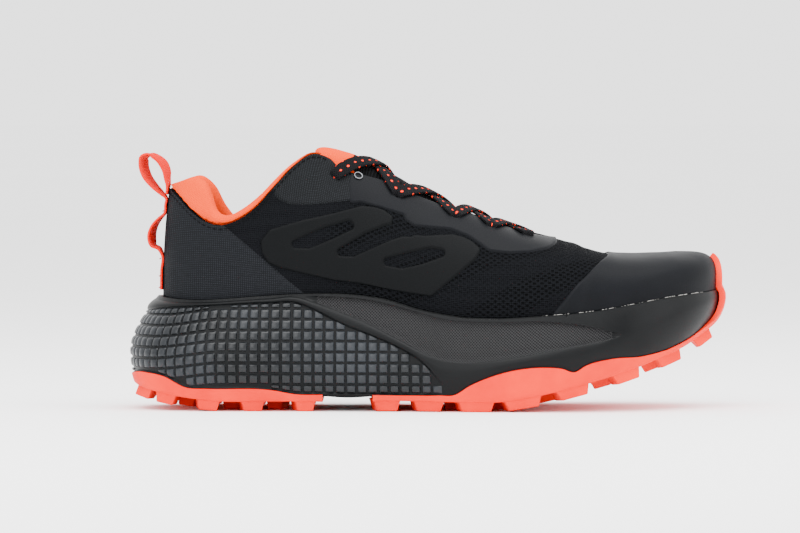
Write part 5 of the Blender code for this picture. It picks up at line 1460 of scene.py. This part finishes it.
def cement_line():
    """Pale bead of cement where the upper meets the rim: it sinks into the corner between its runs."""
    at = np.arange(240)
    shown = ramp(-0.1, 0.5, np.sin(at * 0.53) + np.sin(at * 0.237 + 1) + np.sin(at * 1.7))
    shown = shown * ramp(0, 12, at) * (1 - ramp(227, 239, at))
    u = np.linspace(u_of(0.66), u_of(0.975), 240)
    level = rim_height(u) + 0.00005 - 0.0004 * (1 - shown)
    for name, side in SIDES:
        path = inner_point(u, side, upper_inset(u) - 0.0011, level)
        tube(f"cement_line_{name}", path, 0.00007 + 0.00011 * shown, CEMENT, False, 6)


def stage():
    """Pale floor, soft lights and the camera at the photograph's angle."""
    link = bpy.context.scene.collection.objects.link
    mesh = bpy.data.meshes.new("floor")
    mesh.from_pydata([(-60, -60, 0), (60, -60, 0), (60, 60, 0), (-60, 60, 0)], [], [(0, 1, 2, 3)])
    made, tree = finish("white_vinyl_sweep", 1.0, Specular_IOR_Level=0.0)
    metres = add(tree, "TexCoord", out="Object")
    tone = add(tree, "TexNoise", {"Vector": metres, "Scale": 0.6, "Detail": 1.0})
    colour = add(tree, "Mix", {0: tone, 6: linear("#FCFCFC"), 7: linear("#FFFFFF")}, 2, data_type="RGBA")
    mesh.materials.append(dressed(made, Base_Color=colour))
    floor = bpy.data.objects.new("floor", mesh)
    link(floor)
    world = bpy.data.worlds.new("studio")
    world.use_nodes = True
    world.node_tree.nodes["Background"].inputs[0].default_value = (1, 1, 1, 1)
    world.node_tree.nodes["Background"].inputs[1].default_value = 2.5
    bpy.context.scene.world = world
    for name, spot, size, power in (
        ("top", (0.1, -0.3, 1.3), (1.6, 1.0), 36.0),
        ("front", (-0.6, -1.6, 0.9), (1.2, 1.2), 22.0),
        ("right", (1.4, -0.6, 0.7), (0.8, 0.8), 9.0),
    ):
        light = bpy.data.lights.new(name, "AREA")
        light.shape = "RECTANGLE"
        light.size, light.size_y = size
        light.energy = power
        item = bpy.data.objects.new(name, light)
        item.location = spot
        item.rotation_euler = (Vector((0, 0, 0.05)) - Vector(spot)).to_track_quat("-Z", "Y").to_euler()
        link(item)
    view = bpy.data.cameras.new("camera")
    distance, elevation = 3.0, np.radians(1.5)
    view.sensor_width = 36
    view.lens = 36 * distance / 0.404
    view.clip_end = 100
    camera = bpy.data.objects.new("camera", view)
    target = Vector((-0.01455, 0, 0.0713))
    camera.location = target + Vector((0, -np.cos(elevation), np.sin(elevation))) * distance
    camera.rotation_euler = (target - camera.location).to_track_quat("-Z", "Y").to_euler()
    link(camera)
    bpy.context.scene.camera = camera


stage()
midsole()
grip_blocks()
rubber_plate("rubber_heel", HEEL_PIECE, 150)
rubber_plate("rubber_forefoot", FORE_PIECE, 260)
lugs("lugs_heel", HEEL_LUGS)
lugs("lugs_forefoot", FORE_LUGS)
upper()
films()
collar()
tongue()
footbed()
laces()
pull_loop()
seams()
eyelet_rings()
cement_line()
